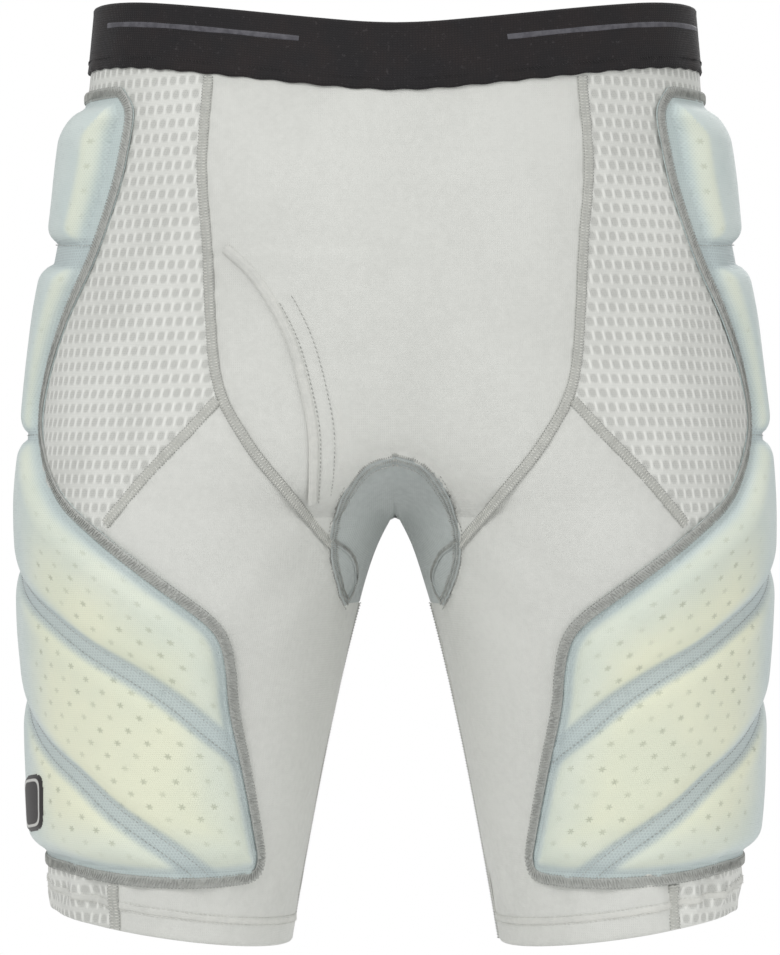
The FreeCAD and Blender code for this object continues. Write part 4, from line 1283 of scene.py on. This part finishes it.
def ladder(name, points, normals, pitch, rungs, lift, halfWidth, slant=0.0, wobble=0.06):
    # rungs of thread across a seam; each rung is (from, to) across the seam in metres
    spots, facing = resample(points, normals, pitch)
    along, across = frameAlong(spots, facing)
    dice = np.random.default_rng(len(spots))
    centres, directions, ups, halves = [], [], [], []
    for start, end in rungs:
        lean = slant + dice.normal(0, wobble, len(spots))
        direction = unit(across + along * lean[:, None])
        centres.append(spots + across * ((start + end) / 2) + facing * lift)
        directions.append(direction)
        ups.append(facing)
        halves.append(np.full(len(spots), abs(end - start) / 2))
    centres, directions, ups = np.concatenate(centres), np.concatenate(directions), np.concatenate(ups)
    lengths = np.concatenate(halves)
    mean = lengths.mean()
    return stitches(name, centres, directions * lengths[:, None] / mean, ups, mean, halfWidth)


def runningStitch(name, points, normals, pitch, length, offsets, lift, halfWidth):
    # rows of short stitches along a seam, at the given distances beside it
    spots, facing = resample(points, normals, pitch)
    along, across = frameAlong(spots, facing)
    centres = np.concatenate([spots + across * o + facing * lift for o in offsets])
    return stitches(name, centres, np.concatenate([along] * len(offsets)),
                    np.concatenate([facing] * len(offsets)), length / 2, halfWidth)


def settle(piece, side, material, nodes, ride=None):
    mirrorRight(piece, side)
    finishPiece(piece, materials[material], nodes, ride)


def shapedRoute(route, back, side, spacing=0.0015, out=0.0007):
    points, normals = routeOnForm(route, spacing, back, out)
    return clothShape(points, normals, sides[side]), normals


seamForm = {"width": 0.0058, "height": 0.00085, "pitch": 0.0016, "thread": 0.00030, "lift": 0.00082,
            "rungs": [(-0.0025, -0.0003), (0.0003, 0.0025)]}


def flatSeam(name, side, points, normals, node, ride=None, thread="thread", width=seamForm["width"],
             cloth="seamCloth", rungs=seamForm["rungs"]):
    # a flat locked seam: folded strip below, two ladders of thread on top, and dark dots along both edges,
    # painted shade in the needle holes
    strip = seamRibbon(name + "Strip", points, normals, width, seamForm["height"])
    settle(strip, side, cloth, [node], ride)
    threads = ladder(name + "Threads", points, normals, seamForm["pitch"], rungs, seamForm["lift"],
                     seamForm["thread"])
    settle(threads, side, thread, [node], ride)
    edge = width / 2 - 0.0001
    # dark dots along both edges: painted shade in the needle holes
    dots = runningStitch(name + "Needle", points, normals, seamForm["pitch"], 0.0007, (-edge, edge), 0.00035,
                         0.0002)
    settle(dots, side, "needleHoleShade", [node], ride)


frontTop = [(0.1005, -0.026)] + frontSeamRoute[1:]
diagonalShort = [(0.095, -0.2005)] + diagonalRoute[1:-1] + [(0.156, -0.2665)]
for side in sides:
    flatSeam(side + "FrontSeam", side, *shapedRoute(frontTop, False, side), side + "_front_seam")
    flatSeam(side + "BackSeam", side, *shapedRoute(frontTop, True, side), side + "_back_seam")
    diagonal = side + "_diagonal_seam"
    flatSeam(side + "DiagonalSeam", side, *shapedRoute(diagonalShort, False, side), diagonal, side)
    flatSeam(side + "BackDiagonalSeam", side, *shapedRoute(diagonalRoute, True, side), diagonal, side)
print("panel seams done")

# gusset seam: a bound arch with grey cover stitching, and the small stitched lens at each foot
gussetSeamForm = {"width": 0.0052, "pitch": 0.0012, "rungs": [(-0.0024, -0.0004), (0.0004, 0.0024)],
                  "lensRungs": [(-0.0015, 0.0015)]}
lensRoute = [(0.0335, -0.276), (0.0262, -0.2825), (0.0225, -0.291), (0.0222, -0.300), (0.0262, -0.3095)]


def gussetSeam():
    strips, threads, rows = [], [], []
    for side in sides:
        for back in (False, True):
            arch = shapedRoute(gussetRoute, back, side, 0.0012)
            lens = shapedRoute(lensRoute, back, side, 0.0012, 0.0008)
            label = "gussetSeam" + side + ("Back" if back else "Front")
            made = [(strips, seamRibbon(label, *arch, gussetSeamForm["width"], 0.0009)),
                    (strips, seamRibbon(label + "Lens", *lens, 0.0030, 0.0006)),
                    (threads, ladder(label + "Rungs", *arch, gussetSeamForm["pitch"], gussetSeamForm["rungs"],
                                     0.00115, 0.00032, 0.15)),
                    (threads, ladder(label + "LensRungs", *lens, gussetSeamForm["pitch"],
                                     gussetSeamForm["lensRungs"], 0.0009, 0.00030, 0.2)),
                    (rows, runningStitch(label + "Row", *arch, 0.0021, 0.0015, (-0.0044, 0.0040), 0.0003,
                                         0.00032))]
            for group, piece in made:
                mirrorRight(piece, side)
                group.append(piece)
    finishPiece(joinPieces("gussetSeamStrip", strips), materials["gusset"], ["gusset_seam"])
    for name, parts in (("gussetSeamThreads", threads), ("gussetSeamRows", rows)):
        finishPiece(joinPieces(name, parts), materials["threadGrey"], ["gusset_seam"])


gussetSeam()
print("gusset seam done")

# fly on the wearer's right front: folded ridge, two rows of stitching, lower layer inside
flyForm = {"ridge": 0.0056, "ridgeHeight": 0.0016, "rowFrom": -0.150, "seamGap": 0.004, "underlap": 0.016,
           "rows": (0.0036, 0.0112)}


def flyPieces():
    points, normals = shapedRoute(flyRoute, False, "right", 0.0015, 0.0008)
    ridge = seamRibbon("flyRidge", points, normals, flyForm["ridge"], flyForm["ridgeHeight"])
    settle(ridge, "right", "binding", ["fly_binding"])
    upper = points[:, 2] < flyForm["rowFrom"]
    rows = runningStitch("flyStitches", points[upper], normals[upper], 0.0024, 0.0017, flyForm["rows"],
                         0.0004, 0.00030)
    settle(rows, "right", "threadGrey", ["fly_binding"])
    # lower layer: a tongue of the same knit behind the front
    piece, u, v = addGrid("flyLowerLayer", 30, 62)
    z = -0.120 - 0.122 * (1 - v)
    foldX = routeX(flyPath, z)
    seamX = routeX(frontSeamPath, z) - flyForm["seamGap"]
    inner = foldX - flyForm["underlap"]
    x = inner + (seamX - inner) * u
    shaped, normals = formAt(x, z, np.full(len(x), False), -0.0017)
    setPoints(piece, shaped)
    setUv(piece, x, z)
    mirrorPiece(piece)
    clothPiece(piece, "knit", "fly_underlay", thickness=0.0005)


flyPieces()
print("fly done")

# waistband: woven elastic, thicker at its edges, with a raised grey stripe in two lengths
bandForm = {"around": 420, "under": 0.0003, "thick": 0.0019, "edge": 0.0009, "height": 0.036,
            "edgeRipple": 0.00035, "swell": 0.00025, "stripeDrop": 0.0122, "stripeHeight": 0.0030,
            "stripes": {"right": (0.0515, 0.158), "left": (0.060, 0.167)}, "stitchRise": 0.0058}


def ellipseRing(centre, half, shift, depth, angle, z, out):
    sine, cosine = np.sin(angle), np.cos(angle)
    normal = unit(np.stack([sine / half, -cosine / depth, 0 * sine], -1))
    point = np.stack([centre + half * sine, shift - depth * cosine, z + 0 * sine], -1)
    return point + normal * np.asarray(out)[..., None], normal


def wholeRing(angle, z, out):
    # a full turn of the body above the legs; angle 0 is the middle of the front
    half, shift, depth = (through(bodyForm[key], z) for key in ("halfWidths", "seatShift", "halfDepths"))
    return ellipseRing(0, half, shift, depth, angle, z, out)


def foldedRing(name, around, profile, ringPoints, along=None):
    # a closed band: the profile's (out, height) steps carried once round; ringPoints places them
    piece, u, v = addGrid(name, around + 1, len(profile) + 1)
    step = profile[np.rint(v * len(profile)).astype(int) % len(profile)]
    points = ringPoints(u * 2 * math.pi, step[:, 0], step[:, 1])
    setPoints(piece, points)
    firstRow = points[:around + 1]
    arc = np.concatenate([[0], np.cumsum(np.linalg.norm(np.diff(firstRow, axis=0), axis=1))])
    setUv(piece, arc[np.rint(u * around).astype(int)], points[:, 2] if along is None else along(step[:, 1]))
    weld(piece, 0.00005)
    alignNormals(piece)
    smoothShade(piece)
    return piece


def smoothRim(x):
    # rounds the corners of the rim's steps
    return sum(rimRise(np.abs(x) + d) + rimRise(np.abs(np.abs(x) - abs(d))) for d in
               (0.0, 0.006, 0.012, 0.018, 0.024)) / 10


def bandPiece():
    profile = []
    tall, thick, edge = bandForm["height"], bandForm["thick"], bandForm["edge"]
    for drop in np.linspace(0.0012, tall - 0.0012, 15):
        rise = edge * 0.35 * math.exp(-(drop / 0.0022) ** 2)
        rise += edge * 0.25 * math.exp(-((tall - drop) / 0.0025) ** 2)
        profile.append((thick + rise, drop))
    profile += [(thick * 0.86, tall - 0.0003), (thick * 0.5, tall + 0.0001), (thick * 0.12, tall - 0.0004)]
    profile += [(0.0, drop) for drop in np.linspace(tall - 0.0015, 0.0015, 9)]
    profile += [(thick * 0.14, 0.0003), (thick * 0.5, -0.0001), (thick * 0.9, 0.0003)]

    def bandPoints(angle, out, drop):
        # the elastic ripples a little, most at its lower edge
        level, _ = wholeRing(angle, -drop, np.zeros(len(angle)))
        ripple = bandForm["edgeRipple"] * np.sin(angle * 61) * smoothStep(0.030, 0.036, drop)
        z = smoothRim(level[:, 0]) - drop + ripple
        swell = bandForm["swell"] * np.sin(angle * 23 + 1.3) * (drop / tall)
        points, _ = wholeRing(angle, z, bandForm["under"] + out + swell)
        return points

    profile = np.array(profile)
    piece = foldedRing("waistbandElastic", bandForm["around"], profile, bandPoints, lambda drop: -drop)
    finishPiece(piece, materials["band"], ["waistband"])


def bandRoute(first, last, drop, out, count):
    # a line along the band from one x to another
    x = np.linspace(first, last, count)
    angle = np.arcsin(np.clip(x / bodyForm["halfWidths"][0] / 1.02, -1, 1))
    for _ in range(3):
        spot, _ = wholeRing(angle, smoothRim(x) - drop, np.full(count, out))
        angle = angle + (x - spot[:, 0]) / 0.2
    return wholeRing(angle, smoothRim(x) - drop, np.full(count, out))


def bandDetails():
    surface = bandForm["under"] + bandForm["thick"]
    for side, (near, far) in bandForm["stripes"].items():
        route = bandRoute(near, far, bandForm["stripeDrop"], surface, 90)
        strip = seamRibbon(side + "BandStripe", *route, bandForm["stripeHeight"], 0.00035, 0.00012, 9)
        settle(strip, side, "stripe", [side + "_waistband_stripe"])
    count = 900
    angle = np.linspace(0, 2 * math.pi, count)
    level, _ = wholeRing(angle, np.full(count, -0.03), np.zeros(count))
    stitchZ = smoothRim(level[:, 0]) - bandForm["height"] + bandForm["stitchRise"]
    route = wholeRing(angle, stitchZ, np.full(count, surface))
    zigzag = ladder("bandStitches", *route, 0.0021, [(-0.0011, 0.0011)], 0.00012, 0.00018, 0.9, 0.1)
    finishPiece(zigzag, materials["threadBlack"], ["waistband_stitching"])


bandPiece()
bandDetails()
print("waistband done")

# pad edge: overlocked border, and double rows of stitching along the grooves
edgeForm = {"width": 0.0056, "height": 0.0007, "pitch": 0.00155, "inset": 0.0026, "lift": 0.0008,
            "rungs": [(-0.0027, 0.0027)], "slant": 0.38, "chains": (-0.0029, 0.0029)}


def closedRoute(points, normals):
    return resample(np.concatenate([points, points[:1]]), np.concatenate([normals, normals[:1]]), 0.0015)


def insetRoute(spots, facing):
    # moves a closed route inwards over the pad
    along, across = frameAlong(spots, facing)
    turn = 1.0 if ((spots.mean(0) - spots) * across).sum() > 0 else -1.0
    return spots + across * turn * edgeForm["inset"]


def padEdge(side):
    # a band just inside the cut edge: folded border, slanting threads over it, a chain along each side of it
    spots, facing = closedRoute(*anglePoint(outlineAngle, outlineZ, padForm["skin"] + edgeForm["lift"]))
    for _ in range(3):
        spots[1:-1] = (spots[:-2] + 2 * spots[1:-1] + spots[2:]) / 4
    spots = insetRoute(spots, facing)
    nodes = [side + "_hip_cover_seam", side + "_thigh_cover_seam"]
    strip = seamRibbon(side + "PadEdge", spots, facing, edgeForm["width"], edgeForm["height"])
    settle(strip, side, "edgeCloth", nodes, side)
    rungs = ladder(side + "PadEdgeRungs", spots, facing, edgeForm["pitch"], edgeForm["rungs"],
                   0.00074, 0.00032, edgeForm["slant"], 0.14)
    settle(rungs, side, "threadGrey", nodes, side)
    chain = runningStitch(side + "PadEdgeChain", spots, facing, 0.0019, 0.0014, edgeForm["chains"],
                          0.0002, 0.00022)
    settle(chain, side, "threadGrey", nodes, side)


def grooveRows(side):
    # a row of stitching along each wall of a wide groove, one row in a narrow one
    parts = []
    for label, (angle, z) in groovePaths.items():
        angle, z = angle[3:-3], z[3:-3]
        base, normals = anglePoint(angle, z, 0.0)
        along, across = frameAlong(base, normals)
        half = grooves[label]["half"]
        for sign in ((-1, 1) if half > 0.003 else (-0.6,)):
            row = base + across * sign * (half - 0.0015)
            height, _, _, fromEdge = padHeights(row, angle, row[:, 2], sides[side])
            keep = fromEdge > 0.004
            lifted = row + normals * (height + 0.0001)[:, None]
            parts.append(runningStitch(side + label + "Row", lifted[keep], normals[keep], 0.0026, 0.0018,
                                       (0.0,), 0.0001, 0.00021))
    settle(joinPieces(side + "GrooveRows", parts), side, "threadGrey", [side + "_thigh_cover_seam"], side)


for side in sides:
    padEdge(side)
    grooveRows(side)
print("pad edges done")

# hems: folded edge, double needle rows, a ladder seam up each side, and the inner leg seam
hemForm = {"fold": 0.0158, "around": 260, "outer": 0.0004, "inner": -0.0019, "stitchRise": 0.0136,
           "ladderTop": -0.4625, "inseamTop": -0.312, "rows": (-0.0020, 0.0020)}


def legRing(angle, z, out):
    # a full turn of one leg; angle 0 is its front, 90 degrees the outer side, 270 the inner side
    centre, shift, half, depth, _, _ = section(z)
    return ellipseRing(centre, half, shift, depth, angle, z, out)


def hemRing(angle, rise, out):
    z = clothGrid["bottomZ"] + rise
    for _ in range(4):
        spot, _ = legRing(angle, z, np.zeros(len(angle)))
        z = hemHeight(spot[:, 0]) + rise
    return legRing(angle, z, out)


def hemPiece(side):
    fold, outer, inner = hemForm["fold"], hemForm["outer"], hemForm["inner"]
    profile = [(outer, rise) for rise in np.linspace(0.0008, fold - 0.0004, 9)]
    profile += [(outer * 0.4 - 0.0002, fold), (inner * 0.5, fold + 0.0003)]
    profile += [(inner, rise) for rise in np.linspace(fold, 0.0008, 7)]
    profile += [(inner * 0.85, 0.0), (inner * 0.45, -0.0005), (outer * 0.4 - 0.0003, -0.0002)]

    def hemPoints(angle, out, rise):
        return clothShape(*hemRing(angle, rise, out), sides[side])

    piece = foldedRing(side + "HemFold", hemForm["around"], np.array(profile), hemPoints)
    mirrorRight(piece, side)
    finishPiece(piece, materials["knit"], [side + "_hem"], side)
    piece.data.materials.append(materials["bubble"])
    for face in piece.data.polygons:
        face.material_index = 1 if abs(face.center.x) > hemSeamX else 0
    declareCloth(piece, meshArea(piece) / 2)


def hemStitches(side):
    count = 420
    angle = np.linspace(0, 2 * math.pi, count)
    out = np.full(count, hemForm["outer"] + 0.0002)
    points, normals = hemRing(angle, np.full(count, hemForm["stitchRise"]), out)
    points = clothShape(points, normals, sides[side])
    rows = runningStitch(side + "HemRows", points, normals, 0.0026, 0.0019, hemForm["rows"], 0.0001, 0.00024)
    settle(rows, side, "thread", [side + "_hem_stitching"], side)
    rib = seamRibbon(side + "HemRib", points, normals, 0.0034, 0.00045, columns=5)
    settle(rib, side, "binding", [side + "_hem_stitching"], side)


def sideLadders(side):
    # the mesh and knit panels meet in a ladder seam below the pad, front and back
    count = 40
    z = np.linspace(hemForm["ladderTop"], hemHeight(0.15) + 0.0008, count)
    x = np.full(count, hemSeamX - 0.0005)
    for back in (False, True):
        points, normals = formAt(x, z, np.full(count, back), 0.0008)
        points = clothShape(points, normals, sides[side])
        label = side + ("Back" if back else "Front") + "HemLadder"
        flatSeam(label, side, points, normals, side + "_hem_stitching", side, width=0.0064,
                 rungs=[(-0.0028, -0.0003), (0.0003, 0.0028)])


def inseamPiece(side):
    count = 130
    z = np.linspace(hemForm["inseamTop"], hemShape["innerZ"] + 0.001, count)
    centre, shift, half, _, _, _ = section(z)
    points = np.stack([centre - half, shift, z], -1)
    normals = np.tile(np.array([-1.0, 0.0, 0.0]), (count, 1))
    flatSeam(side + "Inseam", side, points, normals, side + "_inseam", side, "threadGrey", cloth="knit")


for side in sides:
    hemPiece(side)
    hemStitches(side)
    sideLadders(side)
    inseamPiece(side)
print("hems done")

# tailbone pad on the seat: foam shield under its own cover
tailForm = {"halfWidth": 0.042, "top": -0.084, "tall": 0.128, "columns": 90, "rows": 120, "height": 0.0086,
            "flange": 0.0085, "shoulder": 0.0115, "channels": (-0.045, -0.084), "channelHalf": 0.0030,
            "outline": [(0.0, 0.0), (0.0315, -0.006), (0.042, -0.026), (0.0385, -0.056), (0.030, -0.083),
                        (0.0126, -0.121), (0.0, -0.128)]}


def tailPoint(x, z, out):
    shaped, normals = formAt(np.abs(x), z, np.full(len(x), True), out)
    shaped[:, 0] *= np.where(x < 0, -1, 1)
    normals[:, 0] *= np.where(x < 0, -1, 1)
    return shaped, normals


def tailbone():
    half = np.array(tailForm["outline"])
    whole = np.concatenate([half, half[1:-1][::-1] * [-1, 1]])
    edge = smoothRoute(whole, 0.0015, True)
    edge[:, 1] += tailForm["top"]
    edgePoints, edgeNormals = tailPoint(edge[:, 0], edge[:, 1], 0.0)
    tree = nearLookup(edgePoints)
    for name, node, material, slot, lower in (("tailboneCover", "tailbone_cover", "cover", "cover_mesh", 0.0),
                                              ("tailboneFoam", "tailbone_foam", "foam", "foam", 0.0021)):
        piece, u, v = addGrid(name, tailForm["columns"], tailForm["rows"])
        x = (u - 0.5) * 2 * (tailForm["halfWidth"] + 0.002)
        z = tailForm["top"] + 0.002 - (1 - v) * (tailForm["tall"] + 0.004)
        base, normals = tailPoint(x, z, 0.0)
        away = distanceTo(tree, base)
        wall = roundedWall(away - tailForm["flange"], tailForm["shoulder"])
        channel = np.ones(len(x))
        shade = np.zeros(len(x))
        for level in tailForm["channels"]:
            gap = np.abs(z - tailForm["top"] - level + 0.10 * np.abs(x))
            channel *= 1 - 0.5 * (1 - roundedWall(gap - tailForm["channelHalf"], 0.008))
            shade = np.maximum(shade, smoothStep(0.0065, 0.0025, gap))
        height = padForm["skin"] + wall * channel * tailForm["height"]
        setShade(piece, "foamShow", smoothStep(0.2, 0.8, wall) * 0.85)
        # painted shade in the two channels; near the edge partly the bare cover's own bluish tone, partly
        # painted shade
        dark = shade * (wall > 0.05) + 0.5 * (1 - smoothStep(0, 0.5, wall))
        setShade(piece, "grooveShade", np.clip(dark, 0, 1))
        setPoints(piece, base + normals * (np.maximum(height - lower, 0.0009))[:, None])
        setUv(piece, x, z)
        middle = faceMiddles(piece, np.stack([x, z, wall], -1))
        inside = insideOutline(middle[:, 0], middle[:, 1], edge[:, 0], edge[:, 1])
        keepFaces(piece, inside & ((middle[:, 2] > 0.5) if lower else True))
        if not lower:
            snapEdge(piece, nearLookup(edgePoints + edgeNormals * padForm["skin"]))
        if sum(p.normal.y for p in piece.data.polygons) < 0:
            piece.data.flip_normals()
        thicken(piece, 0.003 if lower else padForm["cover"])
        smoothShade(piece, 70)
        finishPiece(piece, materials[material], [node])
    spots, facing = closedRoute(edgePoints + edgeNormals * (padForm["skin"] + edgeForm["lift"]), edgeNormals)
    spots = insetRoute(spots, facing)
    finishPiece(seamRibbon("tailboneEdge", spots, facing, edgeForm["width"], edgeForm["height"]),
                materials["binding"], ["tailbone_seam"])
    rungs = ladder("tailboneEdgeRungs", spots, facing, edgeForm["pitch"], edgeForm["rungs"], 0.00072, 0.00021,
                   edgeForm["slant"], 0.12)
    finishPiece(rungs, materials["threadGrey"], ["tailbone_seam"])


tailbone()
print("tailbone pad done")

# badge on the wearer's right thigh: small rubber plate, plain field inside a light line
badgeForm = {"middleX": 0.1865, "middleZ": -0.421, "halfWidth": 0.0165, "halfHeight": 0.0155, "proud": 0.0011,
             "slope": -0.14, "turn": 0.085, "radius": 0.087}


def badgePiece():
    piece, u, v = addGrid("thighBadge", 45, 45)
    x, y = u * 2 - 1, v * 2 - 1
    middleAngle = float(frontAngle(badgeForm["middleX"], badgeForm["middleZ"])) + badgeForm["turn"]
    angle = middleAngle + x * badgeForm["halfWidth"] / badgeForm["radius"]
    z = badgeForm["middleZ"] + y * badgeForm["halfHeight"] + badgeForm["slope"] * x * badgeForm["halfWidth"]
    base, normals = anglePoint(angle, z, 0.0)
    height, _, _, _ = padHeights(base, angle, z, sides["right"])
    reach = (np.abs(x) ** 5 + np.abs(y) ** 5) ** 0.2
    edge = smoothStep(0.98, 0.88, reach)
    spots = base + normals * (height + 0.0002 + badgeForm["proud"] * edge)[:, None]
    setPoints(piece, spots)
    setUv(piece, x, y)
    middle = faceMiddles(piece, np.stack([x, y], -1))
    keepFaces(piece, (np.abs(middle[:, 0]) ** 5 + np.abs(middle[:, 1]) ** 5) ** 0.2 < 0.985)
    mirrorPiece(piece)
    pointOutwards(piece)
    thicken(piece, 0.0010)
    smoothShade(piece, 40)
    finishPiece(piece, materials["badge"], ["badge"], "right")


badgePiece()
print("badge done")
print("sheets", sheetSizes)
